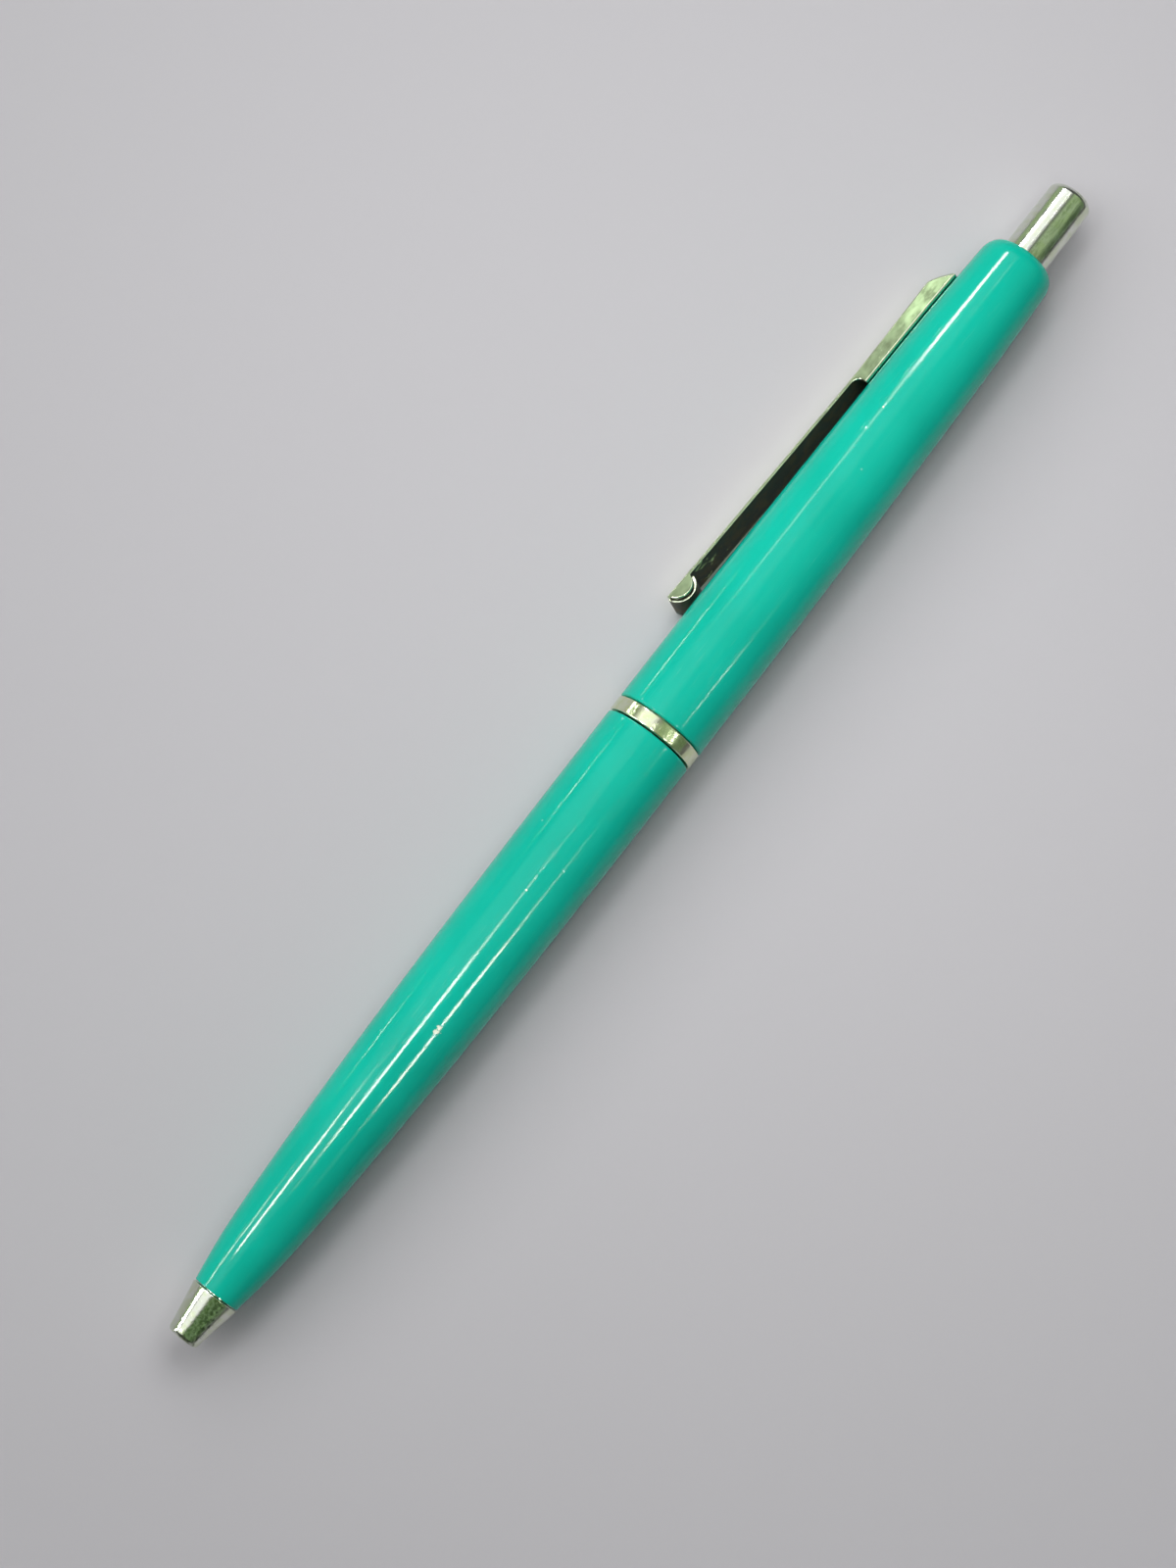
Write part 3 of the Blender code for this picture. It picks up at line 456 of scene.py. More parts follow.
def cut_or_join(base, other, operation):
    """Apply a Boolean of other on base, and remove other."""
    modifier = base.modifiers.new(operation, "BOOLEAN")
    modifier.operation = operation
    modifier.solver = "MANIFOLD"
    modifier.object = other
    graph = bpy.context.evaluated_depsgraph_get()
    mesh = bpy.data.meshes.new_from_object(base.evaluated_get(graph), depsgraph=graph)
    base.modifiers.clear()
    base.data = mesh
    bpy.data.objects.remove(other, do_unlink=True)
    mesh.shade_smooth()
    mesh.set_sharp_from_angle(angle=SHARP_TURN)


def clip_point(x, across, out):
    """A point in the clip's own directions: along the pen, across the clip, and out from the pen's axis."""
    y = AXIS_Y + out * math.cos(CLIP_TILT) + across * math.sin(CLIP_TILT)
    z = AXIS_Z - out * math.sin(CLIP_TILT) + across * math.cos(CLIP_TILT)
    return x, y, z


def slab(name, outline, half):
    """A plate in the clip's own directions: outline is a loop of (x, out)."""
    points = [clip_point(x, across, out) for across in (-half, half) for x, out in outline]
    return add_mesh(name, points, join_rings(2, len(outline)))


BARREL_SECTIONS = [section_of(node)[0] for node in ("upper_barrel", "lower_barrel")]


def barrel_radius(x):
    """The barrels' outside radius at x."""
    return max(outer_radius(path, x) for path in BARREL_SECTIONS)


def clip_height(at):
    """How far the outside of the clip's arm is from the pen's axis."""
    if at < CLIP_STRAIGHT_AT:
        share = (CLIP_STRAIGHT_AT - at) / CLIP_STRAIGHT_AT
        return CLIP_ROOT_R + (CLIP_TIP_R - CLIP_ROOT_R) * share**CLIP_ARM_BOW
    if at <= CLIP_SLOPE_AT:
        return CLIP_ROOT_R
    share = (at - CLIP_SLOPE_AT) / (CLIP_END_AT - CLIP_SLOPE_AT)
    return CLIP_ROOT_R + (CLIP_END_R - CLIP_ROOT_R) * share**CLIP_SLOPE_BOW


def lug_circle():
    """Radius of the side lugs' edge, and how far its centre is above the arm's inner face."""
    radius = (LUG_HALF**2 + LUG_DEPTH**2) / (2 * LUG_DEPTH)
    return radius, radius - LUG_DEPTH


def clip_wall_bottom(at):
    """How far the lower edge of the clip's side walls is from the pen's axis."""
    top = clip_height(at)
    if at > WINDOW_END_AT:
        inner = CLIP_HALF - CLIP_SHEET
        rest = math.sqrt(barrel_radius(CLIP_TIP_X + at) ** 2 - inner**2) + CLIP_GAP
        return min(rest, top - CLIP_LIP)
    if at > WINDOW_END_AT - WINDOW_ROUND:
        along = at - (WINDOW_END_AT - WINDOW_ROUND)
        fall = WINDOW_ROUND - math.sqrt(max(WINDOW_ROUND**2 - along**2, 0.0))
        return top - CLIP_LIP - fall
    if abs(at - LUG_AT) < LUG_HALF:
        radius, above = lug_circle()
        drop = math.sqrt(radius**2 - (at - LUG_AT) ** 2) - above
        return top - max(CLIP_SHEET + drop, CLIP_LIP)
    return top - CLIP_LIP


def quarter_bend(across, top, bend, rows=CLIP_BEND_ROWS):
    """The rounded corner of a section, from the side at across to the top."""
    found = []
    for i in range(rows + 1):
        angle = math.pi / 2 * i / rows
        found.append((across - bend * (1 - math.cos(angle)), top - bend * (1 - math.sin(angle))))
    return found


def clip_section(at):
    """The clip's section: a channel, as a loop of (across, out), and how many of its points are outside."""
    top = clip_height(at)
    low = clip_wall_bottom(at)
    inner = CLIP_HALF - CLIP_SHEET
    share = max((at - CLIP_SLOPE_AT) / (CLIP_END_AT - CLIP_SLOPE_AT), 0.0)
    bend = CLIP_CORNER + (CLIP_END_CORNER - CLIP_CORNER) * share
    outside = quarter_bend(CLIP_HALF, top, bend)
    inside = quarter_bend(inner, top - CLIP_SHEET, max(bend - CLIP_SHEET, CLIP_LEAST_BEND))
    widest = CLIP_FOOT if at > WINDOW_END_AT else CLIP_EDGE
    edge = min(widest, FILLET_SHARE * (top - CLIP_SHEET - low) + CLIP_LEAST_EDGE)
    foot = quarter_bend(CLIP_HALF, low, edge, CLIP_FOOT_ROWS)
    right = [(across, 2 * low - out) for across, out in reversed(foot)] + outside
    left = [(-across, out) for across, out in reversed(right)]
    burr = min(CLIP_BURR, edge / 2)
    under = [(-inner - burr, low), (-inner, low + burr)]
    under += [(-across, out) for across, out in inside]
    back = [(-across, out) for across, out in reversed(under)]
    return right + left + under + back, len(right) + len(left)


def spread(start, stop, rows):
    """Even steps from start to stop, both included."""
    return [start + (stop - start) * i / rows for i in range(rows + 1)]


def clip_stations():
    """Where the clip's sections are taken: close together where its outline bends."""
    window = WINDOW_END_AT - WINDOW_ROUND
    found = [0.0, LUG_AT - LUG_HALF]
    found += [LUG_AT - LUG_HALF * math.cos(math.pi * t) for t in spread(0.0, 1.0, LUG_ROWS)]
    found += spread(LUG_AT + LUG_HALF + STATION_GAP, window - STATION_GAP, ARM_ROWS)
    found += [window + WINDOW_ROUND * math.sin(math.pi / 2 * t) for t in spread(0.0, 1.0, WINDOW_ROWS)]
    found += spread(WINDOW_END_AT + PAST_WINDOW, CLIP_SLOPE_AT, ROOT_ROWS)
    found += spread(CLIP_SLOPE_AT, CLIP_END_AT, SLOPE_ROWS)[1:]
    return found


def on_wall(section, k):
    """Whether the side from point k of the clip's section to the next is the outside of a side wall."""
    ends = (section[k], section[(k + 1) % len(section)])
    return all(abs(abs(across) - CLIP_HALF) < ROUNDING for across, _ in ends)


def clip_channel():
    """The clip's bent sheet: channel root, flat arm and side lugs."""
    points = []
    numbers = []
    stations = clip_stations()
    for at in stations:
        section, outside = clip_section(at)
        points += [clip_point(CLIP_TIP_X + at, across, out) for across, out in section]
        for k in range(len(section)):
            # Inside faces get the material that paints the channel's shade dark
            numbers.append(SATIN if on_wall(section, k) else PLATED if k < outside else STAINED_AND_SHADED)
    # No sides start at the last section: there the two caps come instead
    numbers[-len(section) :] = [PLATED, PLATED]
    return add_mesh("clip_sheet", points, join_rings(len(stations), len(section)), numbers)


def clip_curl():
    """The clip's curled free end, a rolled strip between the lugs."""
    radius, above = lug_circle()
    centre = clip_height(LUG_AT) - CLIP_SHEET + above
    outer = radius + CURL_STEP
    inner = outer - CLIP_SHEET
    start = math.pi + math.asin(min((above - CLIP_SHEET / 2) / outer, 1.0))
    stop = 2 * math.pi - math.asin((above + CURL_END_GAP) / inner)
    arc = spread(start, stop, CURL_ROWS)
    x = CLIP_TIP_X + LUG_AT
    outline = [(x + outer * math.cos(a), centre + outer * math.sin(a)) for a in arc]
    outline += [(x + inner * math.cos(a), centre + inner * math.sin(a)) for a in reversed(arc)]
    return slab("curl", outline, CURL_HALF)


def clip_tang():
    """The clip's tang, which goes through the barrel's slot and hooks behind its wall."""
    first = CLIP_TIP_X + TANG_FROM_AT
    second = CLIP_TIP_X + TANG_TO_AT
    hook = CLIP_TIP_X + HOOK_TO_AT
    outline = [
        (first, clip_height(TANG_FROM_AT) - CLIP_SHEET / 2),
        (first, HOOK_LOW_R),
        (hook, HOOK_LOW_R),
        (hook, HOOK_HIGH_R),
        (second, HOOK_HIGH_R),
        (second, clip_height(TANG_TO_AT) - CLIP_SHEET / 2),
    ]
    return slab("tang", outline, TANG_HALF)


def build_clip(plate, stained, satin):
    """The pocket clip, one piece with three materials."""
    clip = clip_channel()
    for look in (plate, stained, satin):
        clip.data.materials.append(look)
    curl = clip_curl()
    for look in (plate, stained):
        curl.data.materials.append(look)
    # The curl's sides get the same dark inside material, painted shade; its cut ends stay plate
    for face in curl.data.polygons:
        face.material_index = PLATED if len(face.vertices) > 4 else STAINED_AND_SHADED
    cut_or_join(clip, curl, "UNION")
    cut_or_join(clip, clip_tang(), "UNION")
    return clip


def build_thread():
    """The brass neck bush with its outside thread."""
    low, high = box_mm("neck_bush")
    root = THREAD_CREST_R - THREAD_WAVE
    shoulder = low.x + NECK_SEAT_LENGTH
    first = low.x + THREAD_FROM
    last = high.x - THREAD_TO_END
    rows = int((last - first) / THREAD_PITCH * THREAD_ROWS)
    points = []
    for k in range(FINE_STEPS):
        angle = 2 * math.pi * k / FINE_STEPS
        loop = [(low.x, NECK_BORE_R), (low.x, NECK_SEAT_R - NECK_EDGE), (low.x + NECK_EDGE, NECK_SEAT_R)]
        loop += [(shoulder, NECK_SEAT_R), (shoulder + NECK_EDGE, root)]
        for x in spread(first, last, rows):
            fade = max(min((x - first) / THREAD_FADE, (last - x) / THREAD_FADE, 1.0), 0.0)
            turn = 2 * math.pi * (x - NOSE_X) / THREAD_PITCH - angle
            loop.append((x, root + THREAD_WAVE * fade * (1 + math.cos(turn))))
        loop += [(high.x, root - NECK_EDGE), (high.x, NECK_BORE_R)]
        points += [round_axis(x, radius, angle) for x, radius in loop]
    return add_mesh("neck_thread", points, join_rings(FINE_STEPS, len(loop), True))


def build_spring():
    """The return spring: a coil with closed end turns."""
    low, high = box_mm("return_spring")
    coil = (high.y - low.y) / 2 - SPRING_WIRE
    first = low.x + SPRING_WIRE
    last = high.x - SPRING_WIRE
    count = SPRING_TURNS * SPRING_POINTS_PER_TURN
    dead = SPRING_DEAD_TURNS * SPRING_POINTS_PER_TURN
    closed = SPRING_DEAD_TURNS * SPRING_DEAD_PITCH * 2 * SPRING_WIRE
    centres = []
    for i in range(count + 1):
        if i < dead:
            x = first + closed * i / dead
        elif i > count - dead:
            x = last - closed * (count - i) / dead
        else:
            x = first + closed + (last - first - 2 * closed) * (i - dead) / (count - 2 * dead)
        centres.append(np.array(round_axis(x, coil, 2 * math.pi * i / SPRING_POINTS_PER_TURN)))
    points = []
    for i, centre in enumerate(centres):
        ahead = unit(centres[min(i + 1, count)] - centres[max(i - 1, 0)])
        out = centre - np.array((centre[0], AXIS_Y, AXIS_Z))
        out = unit(out - ahead * float(out @ ahead))
        side = np.cross(ahead, out)
        for k in range(SPRING_SIDES):
            angle = 2 * math.pi * k / SPRING_SIDES
            points.append(tuple(centre + SPRING_WIRE * (out * math.cos(angle) + side * math.sin(angle))))
    return add_mesh("spring_coil", points, join_rings(count + 1, SPRING_SIDES))


# ---- materials


class Look:
    """A procedural material being put together. Its coordinates are millimetres in the row frame."""

    def __init__(self, name, colour, roughness, metallic=0.0):
        self.material = bpy.data.materials.new(name)
        self.material.use_nodes = True
        self.tree = self.material.node_tree
        self.shader = self.tree.nodes["Principled BSDF"]
        self.shader.inputs["Base Color"].default_value = (*colour, 1.0)
        self.shader.inputs["Roughness"].default_value = roughness
        self.shader.inputs["Metallic"].default_value = metallic
        coordinates = self.node("ShaderNodeTexCoord").outputs["Object"]
        inputs = {0: coordinates, 1: (1 / MM, 1 / MM, 1 / MM)}
        self.place = self.node("ShaderNodeVectorMath", inputs, operation="MULTIPLY").outputs[0]

    def node(self, kind, inputs=None, **settings):
        """A new node. Each of its inputs is a constant, or a socket of another node to link."""
        made = self.tree.nodes.new(kind)
        for key, value in settings.items():
            setattr(made, key, value)
        for key, value in (inputs or {}).items():
            if isinstance(value, bpy.types.NodeSocket):
                self.link(value, made.inputs[key])
            else:
                made.inputs[key].default_value = value
        return made

    def link(self, source, target):
        """Link an output socket to an input socket."""
        self.tree.links.new(source, target)

    def math(self, operation, a, b=0.0, clamp=False):
        """A calculation on one or two values, each a constant or a socket."""
        return self.node("ShaderNodeMath", {0: a, 1: b}, operation=operation, use_clamp=clamp).outputs[0]

    def times(self, a, b):
        """The product of two values."""
        return self.math("MULTIPLY", a, b)

    def sum(self, *values):
        """The sum of any number of values."""
        total = values[0]
        for value in values[1:]:
            total = self.math("ADD", total, value)
        return total

    def apart(self):
        """The place's three coordinates: along the pen, across it and up."""
        return self.node("ShaderNodeSeparateXYZ", {0: self.place}).outputs

    def unrolled(self):
        """Coordinates on the surface unrolled: along the pen, and round it."""
        apart = self.apart()
        y = self.math("SUBTRACT", apart[1], AXIS_Y)
        z = self.math("SUBTRACT", apart[2], AXIS_Z)
        round_it = self.times(self.math("ARCTAN2", y, z), BARREL_MEAN_R)
        return self.node("ShaderNodeCombineXYZ", {0: apart[0], 1: round_it}).outputs[0]

    def mapped(self, place, scale, turn=0.0, offset=(0.0, 0.0, 0.0)):
        """Coordinates turned, scaled and moved."""
        inputs = {"Vector": place, "Location": offset, "Rotation": (0.0, 0.0, turn), "Scale": scale}
        return self.node("ShaderNodeMapping", inputs).outputs[0]

    def shifted(self, place, scale, seed):
        """Coordinates scaled, and moved so that no two looks share a pattern."""
        return self.mapped(place, scale, 0.0, (seed, 0.0, 0.0))

    def distance(self, point):
        """How far the place is from a point."""
        inputs = {0: self.place, 1: point}
        return self.node("ShaderNodeVectorMath", inputs, operation="DISTANCE").outputs["Value"]

    def noise(self, place, scale, detail=3.0, rough=0.5, distortion=0.0):
        """Soft noise, mostly from 0.3 to 0.7."""
        inputs = {"Vector": place, "Scale": scale, "Detail": detail, "Roughness": rough}
        inputs["Distortion"] = distortion
        return self.node("ShaderNodeTexNoise", inputs).outputs["Fac"]

    def band(self, value, low, high, to_low=0.0, to_high=1.0):
        """value from low..high mapped smoothly to to_low..to_high."""
        inputs = {"Value": value, "From Min": low, "From Max": high, "To Min": to_low, "To Max": to_high}
        return self.node("ShaderNodeMapRange", inputs, interpolation_type="SMOOTHSTEP").outputs["Result"]

    def mix(self, share, a, b):
        """Colour a towards colour b."""
        first, second = ((*colour, 1.0) if isinstance(colour, tuple) else colour for colour in (a, b))
        return self.node("ShaderNodeMix", {0: share, 6: first, 7: second}, data_type="RGBA").outputs[2]

    def scratches(self, place, turn, density, length, seed, low=0.66, high=0.70):
        """Thin lines in one direction: 1 on a scratch, 0 beside it."""
        stretched = self.mapped(place, (1 / length, density, 1.0), turn, (seed, 2.3 * seed, 0.0))
        return self.band(self.noise(stretched, 1.0, 1.0), low, high)

    def specks(self, cell, share, size, seed):
        """Round specks, one at most in each cell: 1 in the middle of a speck, 0 beside it."""
        moved = self.mapped(self.place, (1.0, 1.0, 1.0), 0.0, (seed, -seed, 0.5 * seed))
        inputs = {"Vector": moved, "Scale": 1 / cell, "Randomness": 1.0}
        cells = self.node("ShaderNodeTexVoronoi", inputs).outputs
        drawn = self.node("ShaderNodeSeparateColor", {0: cells["Color"]}).outputs
        chosen = self.math("LESS_THAN", drawn[0], share)
        radius = self.times(self.band(drawn[1], 0.0, 1.0, 0.4, 1.0), size / cell)
        inside = self.math("SUBTRACT", 1.0, self.math("DIVIDE", cells["Distance"], radius), clamp=True)
        return self.times(inside, chosen)

    def finish(self, colour=None, roughness=None, height=None, depth=0.01):
        """Link what varies over the surface. depth is the height of 1, in millimetres."""
        if colour is not None:
            self.link(colour, self.shader.inputs["Base Color"])
        if roughness is not None:
            self.link(roughness, self.shader.inputs["Roughness"])
        if height is not None:
            bump = self.node("ShaderNodeBump", {"Strength": 1.0, "Distance": depth * MM, "Height": height})
            self.link(bump.outputs["Normal"], self.shader.inputs["Normal"])
        return self.material


def barrel_look(name, seed, dents, nicks_and_highlights):
    """Polished teal plastic: faint moulding ripples, hairline scratches, scuffs and specks.

    dents are at (x, across) with a size and a depth, nicks at (x, across) with a size. Nicks are ragged dents
    whose near white colour is a painted highlight, set where a line of gloss crosses them.
    """
    look = Look(name, (0.008, 0.47, 0.34), 0.09)
    look.shader.inputs["Specular IOR Level"].default_value = 0.2
    flat = look.unrolled()
    ripple = look.noise(look.shifted(flat, (0.06, 0.45, 1.0), seed), 1.0, 2.0)
    peel = look.noise(look.place, 1.3, 2.0)
    along = look.scratches(flat, 0.02, 9.0, 6.0, seed)
    slanted = look.scratches(flat, 0.5, 7.0, 2.5, seed + 3.0, 0.69, 0.72)
    crossed = look.scratches(flat, -0.9, 6.0, 2.0, seed + 7.0, 0.70, 0.73)
    patches = look.shifted(flat, (0.05, 0.2, 1.0), seed + 1.0)
    worn = look.band(look.noise(patches, 1.0), 0.46, 0.62)
    scuffs = look.band(look.noise(flat, 3.2, 4.0, 0.75), 0.62, 0.74)
    scuffs = look.times(scuffs, worn)
    marks = look.sum(along, slanted, crossed)
    marks = look.times(marks, look.band(worn, 0.0, 1.0, 0.35, 1.0))
    chips = look.band(look.specks(3.2, 0.5, 0.13, seed), 0.0, 0.5)
    pits = look.band(look.specks(0.9, 0.7, 0.15, seed + 4.0), 0.0, 0.6)
    height = look.sum(
        look.times(ripple, 0.6),
        look.times(peel, 0.09),
        look.times(marks, -0.05),
        look.times(scuffs, 0.10),
        look.times(chips, -0.30),
        look.times(pits, -0.22),
    )
    for x, across, size, depth in dents:
        distance = look.distance(surface_point(x, across))
        height = look.sum(height, look.band(distance, 0.0, size, depth, 0.0))
    roughness = look.sum(
        look.band(look.noise(flat, 0.35, 3.0), 0.3, 0.7, 0.07, 0.11),
        look.times(marks, 0.14),
        look.times(scuffs, 0.16),
    )
    shade = look.band(look.noise(look.place, 0.09, 2.0), 0.3, 0.7)
    colour = look.mix(shade, (0.003, 0.440, 0.318), (0.004, 0.485, 0.354))
    pale = look.times(look.sum(marks, scuffs), 0.04)
    colour = look.mix(pale, colour, (0.30, 0.75, 0.62))
    colour = look.mix(look.times(chips, 0.5), colour, (0.35, 0.72, 0.60))
    ragged = look.noise(look.place, 3.5, 3.0, 0.7)
    # Nicks: ragged dents coloured near white, a painted highlight of the line of gloss that crosses them
    for x, across, size in nicks_and_highlights:
        wander = look.band(ragged, 0.3, 0.7, 0.0, 0.6 * size)
        reach = look.sum(look.distance(surface_point(x, across)), wander)
        nick_highlight = look.band(reach, 0.70 * size, 0.95 * size, 1.0, 0.0)
        colour = look.mix(nick_highlight, colour, (0.92, 0.98, 0.78))
        height = look.sum(height, look.times(nick_highlight, look.times(ragged, 0.3)))
    return look.finish(colour, roughness, height, 0.02)


def plate_look(name, tint, seed, grain, grain_size, streaks, smooth=0.06, pits=0.3, tarnish_and_reflection=None):
    """Worn plate: polishing streaks, an uneven skin that breaks up reflections, and specks of pitting.

    grain is the height of the skin and grain_size its grain in millimetres, streaks their height, smooth the
    least roughness, and pits how dark the specks are. The last argument is a strip along the pen, painted as
    a green reflection that darkens into painted shade across the pen, with mottled spots in the plate: how
    strong it is, where it begins and ends across the pen, and how far its spots are drawn out lengthwise.
    """
    look = Look(name, tint, smooth, 1.0)
    flat = look.unrolled()
    streak = look.noise(look.shifted(flat, (0.3, 7.0, 1.0), seed), 1.0, 3.0)
    moved = look.mapped(look.place, (1.0, 1.0, 1.0), 0.0, (seed, seed, 0.0))
    cloud = look.noise(moved, 0.6 / grain_size, 2.0)
    skin = look.noise(look.place, 1.0 / grain_size, 3.0, 0.6, 0.4)
    speck = look.noise(look.place, 2.6 / grain_size, 4.0, 0.7, 0.6)
    pitted = look.times(look.band(speck, 0.68, 0.74), look.band(cloud, 0.50, 0.66))
    hair = look.scratches(flat, 0.25, 11.0, 1.5, seed + 5.0, 0.66, 0.70)
    height = look.sum(
        look.times(streak, 0.20 * streaks),
        look.times(skin, grain),
        look.times(look.noise(look.place, 0.7, 2.0), 0.6),
        look.times(pitted, -0.30),
        look.times(hair, -0.04),
    )
    roughness = look.sum(
        look.band(cloud, 0.3, 0.7, smooth, smooth + 0.07),
        look.times(pitted, 0.34),
        look.times(hair, 0.10),
    )
    yellowed = (0.90 * tint[0], 0.95 * tint[1], 0.78 * tint[2])
    toned = look.mix(look.band(cloud, 0.35, 0.7), tint, yellowed)
    colour = look.mix(look.times(pitted, pits), toned, (0.10, 0.13, 0.05))
    # Mottled spots over a painted green reflection that darkens into painted shade across the pen
    if tarnish_and_reflection:
        strength, first, last, stretch = tarnish_and_reflection
        across = look.math("SUBTRACT", AXIS_Y, look.apart()[1])
        ragged = look.sum(across, look.band(skin, 0.3, 0.7, -0.25, 0.25))
        begins = look.band(ragged, first - 0.15, first + 0.15)
        ends = look.band(ragged, last - 0.15, last + 0.15, 1.0, 0.0)
        strip = look.times(begins, ends)
        spots = look.noise(look.mapped(look.place, (1 / stretch, 1.0, 1.0)), 1.1 / grain_size, 4.0, 0.6)
        mottled = look.band(spots, 0.34, 0.64, 0.1, 1.0)
        amount = look.times(look.times(strip, mottled), strength)
        # Painted reflection, green where the strip begins, turning to painted shade, near black, where it
        # ends
        reflected_tone = look.mix(look.band(across, first, last), (0.19, 0.29, 0.10), (0.030, 0.055, 0.018))
        colour = look.mix(amount, colour, reflected_tone)
        roughness = look.sum(roughness, look.times(amount, 0.08))
    return look.finish(colour, roughness, height, 0.01)


def satin_look(name, seed):
    """Plate worn through to a satin olive grey, paler towards the button's end, with brown stains."""
    look = Look(name, (0.20, 0.23, 0.15), 0.55, 1.0)
    flat = look.unrolled()
    pale = look.band(look.apart()[0], NOSE_X + 115.0, NOSE_X + 121.0)
    brush = look.noise(look.shifted(flat, (0.5, 9.0, 1.0), seed), 1.0, 3.0)
    cloud = look.noise(look.shifted(look.place, (0.6, 1.0, 1.0), seed), 1.1, 4.0, 0.65)
    speck = look.noise(look.place, 5.0, 3.0, 0.7)
    colour = look.mix(pale, (0.120, 0.155, 0.090), (0.21, 0.28, 0.155))
    stained = look.times(look.band(cloud, 0.42, 0.68), 0.55)
    colour = look.mix(stained, colour, (0.080, 0.095, 0.055))
    colour = look.mix(look.band(speck, 0.66, 0.74), colour, (0.32, 0.38, 0.24))
    roughness = look.sum(look.band(cloud, 0.3, 0.7, 0.46, 0.60), look.band(brush, 0.4, 0.7, 0.0, 0.08))
    height = look.sum(brush, look.times(speck, 1.2))
    return look.finish(colour, roughness, height, 0.004)


def plain_metal(name, tint, roughness, grain=DRAWN_GRAIN):
    """Turned or drawn metal with fine tool marks."""
    look = Look(name, tint, roughness, 1.0)
    marks = look.noise(look.mapped(look.place, grain), 1.0, 3.0)
    cloud = look.noise(look.place, 0.7, 2.0)
    varied = look.band(marks, 0.3, 0.7, roughness - 0.06, roughness + 0.06)
    varied = look.sum(varied, look.band(cloud, 0.4, 0.7, 0.0, 0.06))
    colour = look.mix(look.band(cloud, 0.3, 0.7), tint, tuple(0.86 * c for c in tint))
    return look.finish(colour, varied, marks, 0.003)


def neck_brass(name, seam_x):
    """Turned brass, painted black as shade up to seam_x, where it shows in the gap of the seam between the
    ring and the lower barrel.
    """
    look = Look(name, BRASS_TINT, 0.34, 1.0)
    marks = look.noise(look.mapped(look.place, TURNED_GRAIN), 1.0, 3.0)
    cloud = look.noise(look.place, 0.7, 2.0)
    colour = look.mix(look.band(cloud, 0.3, 0.7), (0.50, 0.38, 0.18), (0.40, 0.30, 0.15))
    # Painted shade: near black below seam_x, in the seam's gap
    colour = look.mix(look.band(look.apart()[0], seam_x, seam_x + 0.3), (0.020, 0.024, 0.018), colour)
    return look.finish(colour, look.band(marks, 0.3, 0.7, 0.28, 0.42), marks, 0.003)


def moulded(name, tint, roughness):
    """Unpolished moulded plastic with a fine grain."""
    look = Look(name, tint, roughness)
    grain = look.noise(look.place, 9.0, 3.0)
    cloud = look.noise(look.place, 0.5, 2.0)
    colour = look.mix(look.band(cloud, 0.3, 0.7), tint, tuple(0.92 * c for c in tint))
    return look.finish(colour, look.band(grain, 0.3, 0.7, roughness - 0.05, roughness + 0.08), grain, 0.004)


def stained_and_shaded_steel(name):
    """The inside of the clip, painted dark as the shade inside its channel, with brown stains, and bright
    chips close to its free end.
    """
    look = Look(name, (0.06, 0.07, 0.05), 0.42, 0.3)
    along = look.apart()[0]
    near_end = look.band(along, CLIP_TIP_X + 6.0, CLIP_TIP_X + 9.5, 0.17, 0.0)
    chipped = look.times(near_end, look.band(along, CLIP_TIP_X + 2.6, CLIP_TIP_X + 4.0))
    cloud = look.noise(look.place, 0.75, 4.0, 0.65)
    speck = look.noise(look.mapped(look.place, (0.5, 1.0, 1.0)), 1.3, 4.0, 0.7)
    grain = look.noise(look.place, 6.0, 3.0, 0.7)
    chips = look.band(look.sum(speck, chipped), 0.72, 0.76)
    colour = look.mix(look.band(cloud, 0.42, 0.62), (0.035, 0.042, 0.030), (0.110, 0.080, 0.045))
    colour = look.mix(look.band(grain, 0.5, 0.7, 0.0, 0.5), colour, (0.08, 0.09, 0.07))
    colour = look.mix(chips, colour, (0.66, 0.78, 0.36))
    return look.finish(colour, look.band(cloud, 0.3, 0.7, 0.34, 0.55), look.sum(speck, grain), 0.008)


def floor_look():
    """A plain pale floor with a faint even tooth."""
    look = Look("pale_floor", (0.52, 0.51, 0.53), 0.8)
    look.shader.inputs["Specular IOR Level"].default_value = 0.0
    cloud = look.noise(look.place, 0.004, 2.0)
    colour = look.mix(look.band(cloud, 0.3, 0.7), (0.52, 0.51, 0.53), (0.54, 0.53, 0.55))
    return look.finish(colour, look.band(cloud, 0.3, 0.7, 0.75, 0.85))


# ---- the pen


def surface_point(x, across):
    """The point of the barrel's upper side at x that lies across (towards -Y) from its middle line."""
    radius = barrel_radius(x)
    return x, AXIS_Y - across, AXIS_Z + math.sqrt(max(radius**2 - across**2, 0.0))


def dress(piece, node, look, body):
    """Give a new piece its material and its place in the assembly, for the CAD node that it stands for."""
    piece.data.materials.clear()
    piece.data.materials.append(look)
    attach(piece, body)
    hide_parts(node)
    return piece


def turned_again(node, name, steps, radius, step=ROW_STEP):
    """A finer copy of a turned CAD node."""
    path, closed = section_of(node)
    fine = refined(path, closed, radius, step)
    return spun(name, fine, closed, steps)


